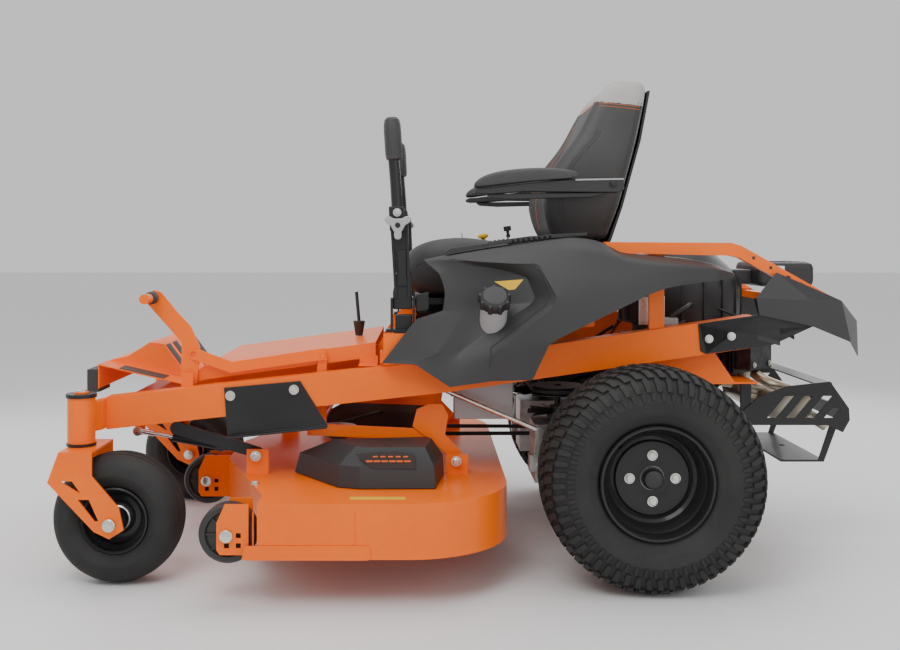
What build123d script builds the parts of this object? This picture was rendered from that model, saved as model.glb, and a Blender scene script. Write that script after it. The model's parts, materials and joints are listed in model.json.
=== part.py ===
from build123d import *

import math
import os

# Zero turn mower, in millimetres. While a piece is being modelled the frame is the machine's own:
# X points forward from the drive axle, Y points to the left of the centre line and Z is height above
# the ground. save() moves every piece so that the file's origin is the middle of the footprint.

# ---- driving dimensions -------------------------------------------------------------------------
WHEELBASE = 1349            # drive axle to caster axle, casters trailing
DRIVE_TYRE_DIA = 558.8      # 22 inch
DRIVE_TYRE_WIDTH = 240
DRIVE_RIM_DIA = 270
DRIVE_TRACK = 1012          # middle of tyre to middle of tyre
CASTER_TYRE_DIA = 330.2     # 13 inch
CASTER_TYRE_WIDTH = 140
CASTER_RIM_DIA = 178
CASTER_TRACK = 900
CASTER_TRAIL = 100
RAIL_HEIGHT = 86
RAIL_WIDTH = 50
RAIL_WALL = 3
RAIL_SPREAD = 345           # centre line of the machine to the middle of a rail
DECK_WIDTH = 1360
DECK_HEIGHT = 132
DECK_CLEARANCE = 118        # ground to the lip of the deck at its highest setting
DECK_WALL = 4
DECK_REAR = 355
BLADE_SPREAD = DECK_WIDTH * 107 / 340       # centre line to an outer spindle
BLADE_LENGTH = BLADE_SPREAD + 29            # 18 inch: the blades' circles overlap
DECK_TRAVEL = 76            # highest to lowest cutting height
ENGINE_X = -183             # crankshaft
SEAT_WIDTH = 510
LEVER_SPREAD = 360
SHEET = 3                   # pressed steel panels
PLATE = 5                   # laser-cut steel plates
RUN = 0.4                   # gap between a turning piece and what it turns in
GAP = 1.0                   # gap between pieces that only pass each other
FENDER_WALL = 5
CHUTE_REACH = 270

# ---- heights and lines that follow from them ----------------------------------------------------
AXLE_Z = DRIVE_TYRE_DIA / 2
CASTER_AXLE_Z = CASTER_TYRE_DIA / 2
STEM_X = WHEELBASE + CASTER_TRAIL
STEM_Y = CASTER_TRACK / 2
WHEEL_Y = DRIVE_TRACK / 2
RAIL_OUT = RAIL_SPREAD + RAIL_WIDTH / 2
RAIL_IN = RAIL_SPREAD - RAIL_WIDTH / 2
RAIL_FRONT = STEM_X - 40
RAIL_REAR = -300
RAIL_BEND = 510
RAIL_LINE = [(RAIL_FRONT, 372), (RAIL_BEND, 470), (RAIL_REAR, 588)]   # underside of the rail
DECK_TOP = DECK_CLEARANCE + DECK_HEIGHT
DECK_SIDE = DECK_WIDTH / 2
SPINDLE_X = DECK_REAR + DECK_SIDE - BLADE_SPREAD
CENTRE_SPINDLE_X = SPINDLE_X + 225
DECK_SHOULDER = SPINDLE_X + 355             # front wall at the sides
DECK_FRONT = CENTRE_SPINDLE_X + BLADE_LENGTH / 2 + 69.5     # front wall at the centre line
SPINDLES = {
    "left": (SPINDLE_X, BLADE_SPREAD),
    "centre": (CENTRE_SPINDLE_X, 0),
    "right": (SPINDLE_X, -BLADE_SPREAD),
}
BELT_Z = DECK_TOP + 58      # middle of the deck belt
FRONT_MOST = STEM_X + 56
REAR_MOST = -634
MIDDLE = Vector((FRONT_MOST + REAR_MOST) / 2, (PLATE - CHUTE_REACH) / 2, 0)


# ---- helpers --------------------------------------------------------------------------------------
def save(name, *solids):
    """Write one node; its solids stay separate pieces."""
    pieces = [solid for shape in solids for solid in shape.solids()]
    moved = [Pos(-MIDDLE.X, -MIDDLE.Y, 0) * piece for piece in pieces]
    export_step(Compound(children=moved), f"parts/{name}.step")


def block(x0, x1, y0, y1, z0, z1):
    """A box between two corners."""
    size = (abs(x1 - x0), abs(y1 - y0), abs(z1 - z0))
    return Pos((x0 + x1) / 2, (y0 + y1) / 2, (z0 + z1) / 2) * Box(*size)


def side_sheet(points, y0, y1, corner=0):
    """A flat outline seen from the side, given as (x, z), as thick as y0 to y1."""
    outline = Polygon(*points, align=None)
    if corner:
        outline = fillet(outline.vertices(), corner)
    return Pos(0, min(y0, y1), 0) * extrude(Plane.XZ * outline, abs(y1 - y0), dir=(0, 1, 0))


def plan_sheet(points, z0, z1, corner=0):
    """A flat outline seen from above, given as (x, y), as thick as z0 to z1."""
    outline = Polygon(*points, align=None)
    if corner:
        outline = fillet(outline.vertices(), corner)
    return Pos(0, 0, z0) * extrude(outline, z1 - z0, dir=(0, 0, 1))


def folded(points, thick, y0, y1):
    """Sheet metal that follows a line of (x, z) points, its thickness downwards."""
    under = [(x, z - thick) for x, z in reversed(points)]
    return side_sheet(points + under, y0, y1)


def rod(start, end, radius):
    """A round bar between two points."""
    start, end = Vector(*start), Vector(*end)
    along = end - start
    place = Plane(origin=start, z_dir=along)
    return extrude(place * Circle(radius), along.length)


def pipe(start, end, radius, bore):
    """A round tube between two points."""
    start, end = Vector(*start), Vector(*end)
    along = end - start
    return extrude(Plane(origin=start, z_dir=along) * (Circle(radius) - Circle(bore)), along.length)


def turned(profile, x, y, z):
    """A wheel-like solid: (radius, offset) points turned about the Y direction through a point."""
    outline = Plane.XY * Polygon(*profile, align=None)
    ring = revolve(outline, Axis.Y)
    return Pos(x, y, z) * ring


def spun(profile, x, y, z):
    """A solid turned about the vertical: (radius, height) points through a point."""
    return Pos(x, y, z) * revolve(Plane.XZ * Polygon(*profile, align=None), Axis.Z)


def hexagon_bolt(point, direction, across=19, height=9, washer=14):
    """A washer with a hexagon head on it, standing on a face."""
    place = Plane(origin=Vector(*point), z_dir=Vector(*direction))
    head = extrude(place * RegularPolygon(across / 2, 6), height)
    return extrude(place * Circle(washer), 2) + head


def mirrored(shape):
    """The same piece on the other side of the machine."""
    return mirror(shape, about=Plane.XZ)


def both(shape):
    """A piece and its mirror image."""
    return [shape, mirrored(shape)]


def rail_under(x):
    """Height of the rail's underside."""
    for (xa, za), (xb, zb) in zip(RAIL_LINE, RAIL_LINE[1:]):
        if x >= xb or xb == RAIL_REAR:
            return za + (zb - za) * (xa - x) / (xa - xb)
    return RAIL_LINE[-1][1]


def rail_top(x):
    """Height of the rail's upper face."""
    return rail_under(x) + RAIL_HEIGHT


# ---- frame ------------------------------------------------------------------------------------------
STEM_TOP = rail_top(RAIL_FRONT) + 11
STEM_BOTTOM = STEM_TOP - 120
STEM_R = 35
STEM_BORE = 19
CRADLE_Z = 491              # upper face of the engine plate
CRADLE_FRONT = 20
CRADLE_REAR = -330
POST_X = (598, 685)
PIVOT_X, PIVOT_Z = 633, 612  # steering lever pivot
CROSS_X = (655, 698)
CROSS_Z = 515


def side_rail():
    """Hollow box rail with one bend, left side."""
    outer = [(x, z) for x, z in RAIL_LINE] + [(x, z + RAIL_HEIGHT) for x, z in reversed(RAIL_LINE)]
    over = RAIL_WALL
    bore = [(RAIL_FRONT + over, rail_under(RAIL_FRONT)), RAIL_LINE[1], (RAIL_REAR - over, RAIL_LINE[2][1])]
    inner = [(x, z + RAIL_WALL) for x, z in bore]
    inner += [(x, z + RAIL_HEIGHT - RAIL_WALL) for x, z in reversed(bore)]
    tube = side_sheet(outer, RAIL_IN, RAIL_OUT)
    return tube - side_sheet(inner, RAIL_IN + RAIL_WALL, RAIL_OUT - RAIL_WALL)


def caster_arm():
    """Stub that carries the caster tube outboard of the rail end, left side."""
    low = rail_under(RAIL_FRONT) + 5
    outline = [(RAIL_FRONT, RAIL_IN), (STEM_X + 8, STEM_Y - 10), (STEM_X - 10, STEM_Y + 8),
               (RAIL_FRONT, RAIL_OUT + 30)]
    arm = plan_sheet(outline, low, low + RAIL_HEIGHT - 10)
    return arm - rod((STEM_X, STEM_Y, 0), (STEM_X, STEM_Y, 600), STEM_R)


def frame():
    """Rails, caster tubes, cross members, engine cradle and lever posts."""
    tube = pipe((STEM_X, STEM_Y, STEM_BOTTOM), (STEM_X, STEM_Y, STEM_TOP), STEM_R, STEM_BORE)
    front_z = rail_under(1340) + 12
    strut_ear = block(1330, 1358, STRUT_Y - 21, STRUT_Y - 16, front_z - 50, front_z)
    hang_x = (ARM_X - 26, ARM_X + 26)
    hang = block(*hang_x, RAIL_IN - 34, RAIL_IN - 28, ARM_Z - 20, rail_under(ARM_X) + 20)
    hang -= rod((ARM_X, 200, ARM_Z), (ARM_X, 400, ARM_Z), 9)
    web = block(ARM_X + 14, ARM_X + 26, RAIL_IN - 28, RAIL_IN, rail_under(ARM_X) + 4, rail_under(ARM_X) + 20)
    gusset_top = CRADLE_FRONT - 230
    gusset = [(CRADLE_FRONT, CRADLE_Z - PLATE), (CRADLE_FRONT, rail_under(CRADLE_FRONT)),
              (gusset_top, rail_under(gusset_top)), (gusset_top - 60, CRADLE_Z - PLATE)]
    gusset_plate = side_sheet(gusset, RAIL_IN, RAIL_IN + PLATE)
    post = block(*POST_X, RAIL_IN, RAIL_OUT, rail_top(POST_X[0]), PIVOT_Z - 34)
    post -= block(POST_X[0] + 4, POST_X[1] - 4, RAIL_IN + 4, RAIL_OUT - 4, 0, 900)
    post -= block(0, 900, 0, 900, 0, rail_top(POST_X[0]))
    front_hang = block(FRONT_ARM_X - 20, FRONT_ARM_X + 20, RAIL_IN - 66, RAIL_IN - 60, FRONT_ARM_Z - 20, 410)
    front_hang -= rod((FRONT_ARM_X, 200, FRONT_ARM_Z), (FRONT_ARM_X, 400, FRONT_ARM_Z), 9)
    front_hang += block(FRONT_ARM_X - 20, FRONT_ARM_X + 20, RAIL_IN - 66, RAIL_IN, 404, 410)
    plate = block(CRADLE_REAR, CRADLE_FRONT, -RAIL_IN, RAIL_IN, CRADLE_Z - PLATE, CRADLE_Z)
    plate -= rod((ENGINE_X, 0, 0), (ENGINE_X, 0, 900), 60)
    front = block(1340, 1390, -RAIL_IN, RAIL_IN, front_z, front_z + 50)
    middle = block(*CROSS_X, -RAIL_IN, RAIL_IN, CROSS_Z - 50, CROSS_Z)
    sides = []
    for piece in (side_rail(), caster_arm(), tube, strut_ear, hang + web, front_hang, gusset_plate, post):
        sides += both(piece)
    (px, pz) = PEDAL_PIVOT
    pedal_ear = block(px - 16, px + 16, RAIL_IN, RAIL_IN + 6, rail_top(px) - 6, pz + 16)
    pedal_ear -= side_rail()
    pedal_ear += rod((px, PEDAL_Y - 12, pz), (px, RAIL_IN, pz), 7)
    return sides + [plate, front, middle, pedal_ear]


# ---- casters ------------------------------------------------------------------------------------------
FORK_GAP = CASTER_TYRE_WIDTH + 34
FORK_PLATE = 6
STRUT_Y = 294


def caster_fork():
    """Yoke with two cut-out legs and a stem that turns in the caster tube, left side."""
    half = FORK_GAP / 2
    top = STEM_BOTTOM - 4
    front = STEM_X + 56
    leg_line = [(front - 28, top), (front, top - 76), (WHEELBASE + 40, CASTER_AXLE_Z - 18),
                (WHEELBASE + 2, CASTER_AXLE_Z - 36), (WHEELBASE - 34, CASTER_AXLE_Z - 14),
                (WHEELBASE - 22, CASTER_AXLE_Z + 42), (STEM_X - 55, top - 60), (STEM_X - 55, top)]
    crown = block(STEM_X - 55, front - 28, STEM_Y - half, STEM_Y + half, top - FORK_PLATE, top)
    fork = crown
    window_high = [(front - 30, top - 72), (front - 62, top - 72), (front - 84, top - 104)]
    window_low = [(front - 76, top - 118), (front - 104, top - 118), (front - 128, top - 172),
                  (front - 118, top - 172)]
    for y in (STEM_Y - half - FORK_PLATE, STEM_Y + half):
        leg = side_sheet(leg_line, y, y + FORK_PLATE)
        leg -= side_sheet(window_high, y - 1, y + FORK_PLATE + 1)
        leg -= side_sheet(window_low, y - 1, y + FORK_PLATE + 1)
        fork += leg
    stem = rod((STEM_X, STEM_Y, top - FORK_PLATE), (STEM_X, STEM_Y, STEM_TOP + 14), STEM_BORE - RUN)
    collar = rod((STEM_X, STEM_Y, top), (STEM_X, STEM_Y, STEM_BOTTOM - RUN), 30)
    cap = rod((STEM_X, STEM_Y, STEM_TOP + RUN), (STEM_X, STEM_Y, STEM_TOP + 9), 38)
    axle = rod((WHEELBASE, STEM_Y - half - 16, CASTER_AXLE_Z),
               (WHEELBASE, STEM_Y + half + 16, CASTER_AXLE_Z), 9.5)
    fork = fork + stem + collar + cap + axle
    for side in (-1, 1):
        face = STEM_Y + side * (half + FORK_PLATE)
        fork += rod((WHEELBASE, face, CASTER_AXLE_Z), (WHEELBASE, face + side * 12, CASTER_AXLE_Z), 15)
    return fork


def caster_wheel():
    """Ribbed-free pneumatic tyre on a pressed rim with a bushed hub, left side."""
    r, w, rim = CASTER_TYRE_DIA / 2, CASTER_TYRE_WIDTH / 2, CASTER_RIM_DIA / 2
    tyre = [(rim, -w * 0.62), (rim + 12, -w * 0.86), (rim + 36, -w), (r - 28, -w * 0.96),
            (r - 7, -w * 0.66), (r, -w * 0.3)]
    tyre += [(radius, -offset) for radius, offset in reversed(tyre)]
    rim_line = [(rim, -w * 0.62), (rim, w * 0.62), (rim - 9, w * 0.62), (rim - 22, w * 0.3), (40, w * 0.16),
                (24, w * 0.16), (24, w + 8), (10, w + 8), (10, -w - 8), (24, -w - 8), (24, -w * 0.1),
                (40, -w * 0.1), (rim - 28, w * 0.02), (rim - 16, -w * 0.62)]
    place = (WHEELBASE, STEM_Y, CASTER_AXLE_Z)
    return [turned(tyre, *place), turned(rim_line, *place)]


# ---- drive wheels -------------------------------------------------------------------------------------
HUB_OUT = 28                # hub face outboard of the tyre's middle plane


def drive_wheel():
    """Tyre, dished rim, hub with axle shaft and four lug nuts, left side."""
    r, w, rim = DRIVE_TYRE_DIA / 2, DRIVE_TYRE_WIDTH / 2, DRIVE_RIM_DIA / 2
    tyre = [(rim - 6, -w * 0.72), (rim + 14, -w * 0.9), (rim + 55, -w), (r - 36, -w * 0.97),
            (r - 8, -w * 0.78), (r, -w * 0.4)]
    tyre += [(radius, -offset) for radius, offset in reversed(tyre)]
    barrel = [(rim - 6, -w * 0.72), (rim - 6, w * 0.72), (rim, w * 0.78), (rim, w * 0.82),
              (rim - 10, w * 0.8),
              (rim - 22, w * 0.55), (rim - 30, HUB_OUT + 12), (rim - 42, HUB_OUT + 5), (30, HUB_OUT + 5),
              (30, HUB_OUT), (rim - 40, HUB_OUT), (rim - 26, HUB_OUT - 6), (rim - 16, -w * 0.72)]
    hub = [(0, HUB_OUT + 24), (25, HUB_OUT + 24), (29, HUB_OUT + 18), (29, HUB_OUT), (78, HUB_OUT - RUN),
           (78, HUB_OUT - 12), (30, HUB_OUT - 12), (30, HUB_OUT - 50), (17, HUB_OUT - 50), (17, -230),
           (0, -230)]
    place = (0, WHEEL_Y, AXLE_Z)
    nuts = []
    for turn in range(4):
        angle = math.radians(90 * turn)
        x, z = 57.15 * math.cos(angle), AXLE_Z + 57.15 * math.sin(angle)
        face = WHEEL_Y + HUB_OUT + 5
        nuts.append(hexagon_bolt((x, face, z), (0, 1, 0), across=22, height=14, washer=15))
    return [turned(tyre, *place), turned(barrel, *place), turned(hub, *place)] + nuts


# ---- floor, toe board and front fittings --------------------------------------------------------------
FLOOR_HALF = RAIL_IN - 30
FLOOR_LINE = [(700, 596), (1165, 533), (1228, 484)]
TOE_HUMP = [(1228, 484), (1300, 582), (1342, 586), (1400, 548), (1455, 536)]
TOE_LOW = [(1228, 484), (1455, 536)]
HUMP_HALF = 190


def floor_pan():
    """Foot platform with side flanges, raised toe board in the middle and low ones beside it."""
    pan = folded(FLOOR_LINE, SHEET, -FLOOR_HALF, FLOOR_HALF)
    pan += folded(TOE_HUMP, SHEET, -HUMP_HALF, HUMP_HALF)
    for side in (-1, 1):
        pan += folded(TOE_LOW, SHEET, side * HUMP_HALF, side * FLOOR_HALF)
        cheek = TOE_HUMP + [(x, z - SHEET) for x, z in reversed(TOE_LOW)]
        pan += side_sheet(cheek, side * HUMP_HALF, side * (HUMP_HALF - SHEET))
        skirt = [FLOOR_LINE[0], FLOOR_LINE[1], FLOOR_LINE[2], (1228, 474), (1165, 494), (700, 556)]
        pan += side_sheet(skirt, side * FLOOR_HALF, side * (FLOOR_HALF - SHEET))
    lip = block(1452, 1455, -FLOOR_HALF, FLOOR_HALF, 470, 536)
    return pan + lip


def toe_feet():
    """Ears that stand the floor pan on the rails, left side."""
    low = rail_top(694)
    foot = block(694, 744, FLOOR_HALF, RAIL_IN + 20, low, low + SHEET)
    return foot + block(694, 744, FLOOR_HALF, FLOOR_HALF + SHEET, low, low + 24)


def grip_pads():
    """Anti-slip strips lying on the toe boards."""
    pads = []
    (xa, za), (xb, zb) = TOE_HUMP[0], TOE_HUMP[1]
    slope = (zb - za) / (xb - xa)
    high = [(xa + 8, za + 8 * slope), (xb - 4, zb - 4 * slope)]
    (xc, zc), (xd, zd) = TOE_LOW
    fall = (zd - zc) / (xd - xc)
    low = [(xc + 50, zc + 50 * fall), (xd - 55, zd - 55 * fall)]
    for side in (-1, 1):
        for y in (55, 135):
            pads.append(side_sheet(raised(high, 2), side * y, side * (y + 45)))
        pads.append(side_sheet(raised(low, 2), side * 220, side * 285))
    return pads


def raised(line, thick):
    """The outline of a strip that lies on a sloping line."""
    (xa, za), (xb, zb) = line
    lift = thick * math.hypot(xb - xa, zb - za) / (xb - xa)
    return [(xa, za), (xb, zb), (xb, zb + lift), (xa, za + lift)]


def headlamp():
    """Lamp box under the front edge of the toe board, left side."""
    return block(1456, 1490, 175, 275, 458, 520)


# ---- side plates and lever posts ------------------------------------------------------------------------
STEP_PLATE = [(1097, 483), (896, 501), (823, 384), (1088, 356)]


def step_plate():
    """Plate bolted to the outside of the rail with a turned-out lower edge, left side."""
    plate = side_sheet(STEP_PLATE, RAIL_OUT, RAIL_OUT + PLATE)
    (xa, za), (xb, zb) = STEP_PLATE[3], STEP_PLATE[2]
    edge = [(xa, za), (xb, zb), (xb, zb - PLATE), (xa, za - PLATE)]
    return plate + side_sheet(edge, RAIL_OUT, RAIL_OUT + 28)


STEP_BOLTS = [(1080, 462), (912, 478)]


# ---- fenders, consoles and tanks ------------------------------------------------------------------------
# Each station is (x, underside, top, half width at the top, at the shoulder and at the underside).
NOSE_LOW = [(675, 552, 560, 424, 425, 426), (600, 548, 668, 408, 420, 432), (500, 497, 690, 404, 424, 448)]
NOSE_HIGH = [(566, 811, 820, 372, 380, 386), (540, 778, 828, 374, 388, 398), (500, 690, 840, 376, 398, 418)]
BODY = [(500, 497, 841, 376, 400, 448), (388, 505, 858, 380, 404, 452), (300, 516, 870, 384, 410, 456),
        (255, 612, 876, 386, 430, 470), (137, 672, 884, 388, 446, 482), (104, 688, 835, 390, 452, 485),
        (-85, 762, 832, 394, 462, 476), (-190, 772, 822, 392, 440, 450), (-249, 776, 786, 388, 410, 414)]
FENDER_IN = 285
FILLER = Vector(388, 421, 676)
FILLER_AXIS = Vector(0, math.cos(math.radians(45)), math.sin(math.radians(45)))


def station(x, low, high, top_y, shoulder_y, low_y, inset=0.0, drop=0.0):
    """One cross-section of the fender in the plane across the machine."""
    wide = FENDER_IN - (10 if inset else 0)
    points = [(wide, low - drop), (wide, high - inset), (top_y - inset, high - inset),
              (shoulder_y - inset, high - min(24, (high - low) * 0.4)),
              (low_y - inset, low + (high - low) * 0.2),
              (low_y - inset, low - drop)]
    return Plane.YZ.offset(x) * Polygon(*points, align=None)


def skin(stations, inset=0.0, drop=0.0, grow=0.0):
    """The solid that runs through a row of stations."""
    faces = []
    for number, values in enumerate(stations):
        x = values[0]
        if grow and number == len(stations) - 1:
            x -= grow
        faces.append(station(x, *values[1:], inset=inset, drop=drop))
    return loft(faces, ruled=True)


def fender():
    """Moulded cover over rail, tank and lever base, open inboard and underneath, left side."""
    outer = skin(NOSE_LOW) + skin(NOSE_HIGH) + skin(BODY)
    hollow = skin(BODY, FENDER_WALL, 400, grow=20)
    low_hollow = skin(NOSE_LOW, FENDER_WALL, 400, grow=5)
    high_hollow = skin(NOSE_HIGH, FENDER_WALL, 300, grow=5)
    shell = outer - hollow - low_hollow - high_hollow
    shell -= rod(FILLER - FILLER_AXIS * 60, FILLER + FILLER_AXIS * 80, 38)
    shell -= rod(FILLER + FILLER_AXIS * 36, FILLER + FILLER_AXIS * 140, 50)
    shell -= block(505, 700, 200, 400, 400, 775)
    return shell - block(-80, -20, 200, HOOD_Y[0] + 4, 700, 900)


def console_lid():
    """Raised armrest-height lid on the fender with a row of slots, left side."""
    lid = side_sheet([(512, 843), (498, 852), (223, 889), (137, 893), (137, 885), (300, 871), (500, 842)],
                     296, 368)
    lid = lid - skin(BODY) - skin(NOSE_HIGH)
    for number in range(8):
        x = 330 - number * 14
        lid -= block(x, x + 6, 345, 380, 800, 1000)
    return lid


TANK_LOW = 385


def fuel_tank():
    """Moulded tank: deep part inboard of the rail, shallow part under the fender, with its neck."""
    deep = block(326, 486, 150, 282, TANK_LOW, 640)
    shallow = block(150, 486, FENDER_IN + 12, 372, 690, 835)
    shallow -= side_sheet([(486, 830), (100, 900), (486, 900)], 0, 600)
    shallow -= side_sheet([(486, 812), (100, 868), (100, 900), (486, 900)], 0, 600)
    bridge = block(326, 486, 282, RAIL_IN - 6, 600, 720)
    tank = deep + bridge + shallow
    neck = rod(FILLER - FILLER_AXIS * 74, FILLER + FILLER_AXIS * 44, 35)
    return tank + neck


def fuel_cap():
    """Screw cap on the filler neck, left side."""
    base = FILLER + FILLER_AXIS * (44 + RUN)
    return rod(base, base + FILLER_AXIS * 44, 45)


# ---- hood frame and guards ------------------------------------------------------------------------------
HOOD_Y = (356, 381)
HOOD_LINE = [(98, 868), (-240, 866), (-268, 858), (-522, 715), (-470, 715), (-262, 826), (-236, 832),
             (58, 838)]


def hood_frame():
    """Bent orange bars each side, joined by a rear and a front cross bar and stood on uprights."""
    pieces = []
    bar = side_sheet(HOOD_LINE, *HOOD_Y)
    for x, z in ((-392, 774), (-424, 756)):
        bar -= Pos(x, 0, z) * Rot(0, -30, 0) * Box(9, 2000, 9)
    upright = block(-70, -30, 340, 356, rail_top(-30), 860) - side_rail()
    pieces += both(bar) + both(upright)
    pieces.append(block(-512, -482, -HOOD_Y[0], HOOD_Y[0], 690, 712))
    pieces.append(block(-84, -64, -HOOD_Y[0], HOOD_Y[0], 842, 864))
    return pieces


BRACKET = [(-156, 652), (-318, 676), (-462, 646), (-352, 596), (-176, 572), (-162, 580)]


def slab(points, thick):
    """A flat plate through corner points given as (x, y, z), thick along its own normal."""
    corners = [Vector(*point) for point in points]
    normal = (corners[1] - corners[0]).cross(corners[2] - corners[0]).normalized()
    flat = [corner - normal * (corner - corners[0]).dot(normal) for corner in corners]
    return extrude(make_face(Polyline(*flat, close=True)), thick, dir=normal)


def rear_side_guard():
    """Bracket bolted to the rail end that carries the guard, left side."""
    plate = side_sheet(BRACKET, RAIL_OUT, RAIL_OUT + PLATE)
    slot = Pos(-340, 0, 622) * Rot(0, 17, 0) * Box(62, 2000, 16)
    return plate - slot


def muffler_guard():
    """Slotted cage round the muffler, left side plate, top and tail."""
    outline = [(-300, 400), (-345, 440), (-420, 472), (-545, 486), (-597, 412), (-599, 380), (-580, 346),
               (-535, 366), (-325, 366)]
    plate = side_sheet(outline, 262, 262 + PLATE)
    for number in range(4):
        x = -372 - number * 52
        slot = [(x, 386), (x - 25, 386), (x - 75, 446), (x - 50, 446)]
        if number == 3:
            slot = [(x, 386), (x - 25, 386), (x - 47, 412), (x - 22, 412)]
        plate -= side_sheet(slot, 200, 300)
    return plate


def rear_cage():
    """The cage's two sides, the bar across its tail and the stays up to the engine plate."""
    pieces = both(muffler_guard())
    tail = block(-596, -588, -262, 262, 372, 412)
    top = block(-552, -500, -262, 262, 478, 482)
    stay = side_sheet([(-300, 400), (-330, 400), (-330, CRADLE_Z - PLATE), (-300, CRADLE_Z - PLATE)], 256,
                      262)
    pieces += [tail, top] + both(stay)
    return pieces


def guard_panels():
    """Faceted sheet cheek between hood bar and bracket, folded round to the tail, left side."""
    peak, front, heel = (-355, 394, 786), (-300, 404, 722), (-312, 388, 676)
    notch, middle, corner = (-445, 394, 712), (-452, 392, 646), (-526, 390, 712)
    sill, toe, tip = (-556, 380, 602), (-628, 250, 552), (-622, 256, 650)
    facets = [(peak, front, notch), (front, heel, middle), (front, middle, notch), (notch, middle, corner),
              (middle, sill, corner), (sill, toe, corner), (toe, tip, corner)]
    return [slab(facet, SHEET) for facet in facets]


def hitch():
    """Towing plate hung under the tail by two legs, with its pin hole."""
    half = 220
    plate = block(-545, -425, -half, half, HITCH_Z - 6, HITCH_Z)
    plate -= rod((HITCH_X, 0, 0), (HITCH_X, 0, 600), HITCH_HOLE)
    for side in (-1, 1):
        leg = [(-545, HITCH_Z - 6), (-528, HITCH_Z - 6), (-566, 372), (-588, 372)]
        plate += side_sheet(leg, side * (half - 6), side * half)
        plate += block(-588, -566, side * (half - 6), side * (half + 36), 366, 372)
    return plate


HITCH_X = -500
HITCH_Z = 262
HITCH_HOLE = 10


# ---- engine ---------------------------------------------------------------------------------------------
SHAFT_R = 14
CASE_TOP = 625
SHROUD_TOP = 838
SCREEN_R = 82


def engine_block():
    """Crankcase with two finned cylinders in a V towards the rear, heads, covers and oil filter."""
    case = Pos(ENGINE_X, 0, (CRADLE_Z + CASE_TOP) / 2) * Cylinder(128, CASE_TOP - CRADLE_Z)
    case += block(ENGINE_X - 20, ENGINE_X + 150, -110, 110, CRADLE_Z, CASE_TOP - 30)
    covers = []
    for side in (-1, 1):
        turn = Pos(ENGINE_X, 0, 560) * Rot(0, 0, 180 - side * 45)
        barrel = turn * Pos(160, 0, 0) * Box(140, 90, 90)
        for fin in range(6):
            barrel += turn * Pos(126 + fin * 18, 0, 0) * Box(6, 134, 118)
        case += barrel
        covers.append(turn * Pos(253, 0, 0) * Box(46, 120, 96))
    case -= rod((ENGINE_X, 0, 0), (ENGINE_X, 0, 900), SHAFT_R + RUN)
    filter_can = rod((ENGINE_X + 100, 190, 540), (ENGINE_X + 100, 110, 540), 38)
    return [case, filter_can] + covers


def engine_covers():
    """Blower housing with its round intake, and the air cleaner box behind it."""
    outline = Pos(ENGINE_X - 10, 0) * RectangleRounded(330, 400, 90)
    shroud = Pos(0, 0, CASE_TOP + 62) * extrude(outline, SHROUD_TOP - CASE_TOP - 90, taper=8)
    shroud += Pos(ENGINE_X, 0, SHROUD_TOP - 20) * Cylinder(SCREEN_R + 16, 40)
    shroud -= Pos(ENGINE_X, 0, CASE_TOP) * extrude(Circle(SCREEN_R + 4), 500)
    skirt = Pos(ENGINE_X, 0, CASE_TOP + 31) * Cylinder(SCREEN_R + 40, 62)
    skirt -= Pos(ENGINE_X, 0, CASE_TOP) * extrude(Circle(SCREEN_R + 4), 500)
    cleaner = block(-560, -392, -120, 120, 738, 812)
    cleaner = fillet(cleaner.edges().filter_by(Axis.Z), 24)
    duct = block(-392, -338, -60, 60, 744, 790)
    duct -= shroud
    return [shroud, skirt, cleaner, duct]


def crankshaft():
    """Shaft, intake screen with flywheel, transaxle pulley and clutch pulley turning as one."""
    x = ENGINE_X
    shaft = rod((x, 0, BELT_Z - 26), (x, 0, 850), SHAFT_R)
    screen = Pos(x, 0, 850) * Cylinder(SCREEN_R, 26)
    flywheel = Pos(x, 0, 720) * Cylinder(SCREEN_R - 4, 30)
    drive = pulley(x, 0, DRIVE_BELT_Z, 68)
    clutch = Pos(x, 0, BELT_Z + 48) * Cylinder(72, 56)
    deck_pulley = pulley(x, 0, BELT_Z, DECK_PULLEY_R)
    return shaft + screen + flywheel + drive + clutch + deck_pulley


def pulley(x, y, z, radius, bore=0.0):
    """A vee pulley; radius is where the belt's inner face runs."""
    rim = radius + 13
    line = [(bore, -12), (rim, -12), (rim, -10), (radius - 1, -7), (radius - 1, 7), (rim, 10), (rim, 12),
            (bore, 12)]
    return spun(line, x, y, z)


DECK_PULLEY_R = 47
DRIVE_BELT_Z = 458
BELT_THICK = 10


def muffler():
    """Oval silencer across the tail with two pipes from the heads and its outlet."""
    can = Pos(-448, 0, 412) * Rot(90, 0, 0) * extrude(RectangleRounded(130, 84, 40), 220, both=True)
    outlet = rod((-500, 150, 395), (-575, 150, 345), 16)
    pipes = []
    for side in (-1, 1):
        pipes.append(rod((-352, side * 120, 440), (-352, side * 120, 500), 17))
        pipes.append(rod((-352, side * 120, 440), (-420, side * 120, 430), 17))
    body = can + outlet
    for piece in pipes:
        body += piece
    return body


# ---- transaxles -----------------------------------------------------------------------------------------
FAN_X = 196
FAN_Y = 215
HORN_R = 44
ARM_PIVOT = (262, 270)
ARM_END = (258, 361)
ARM_Y = 338


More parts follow.
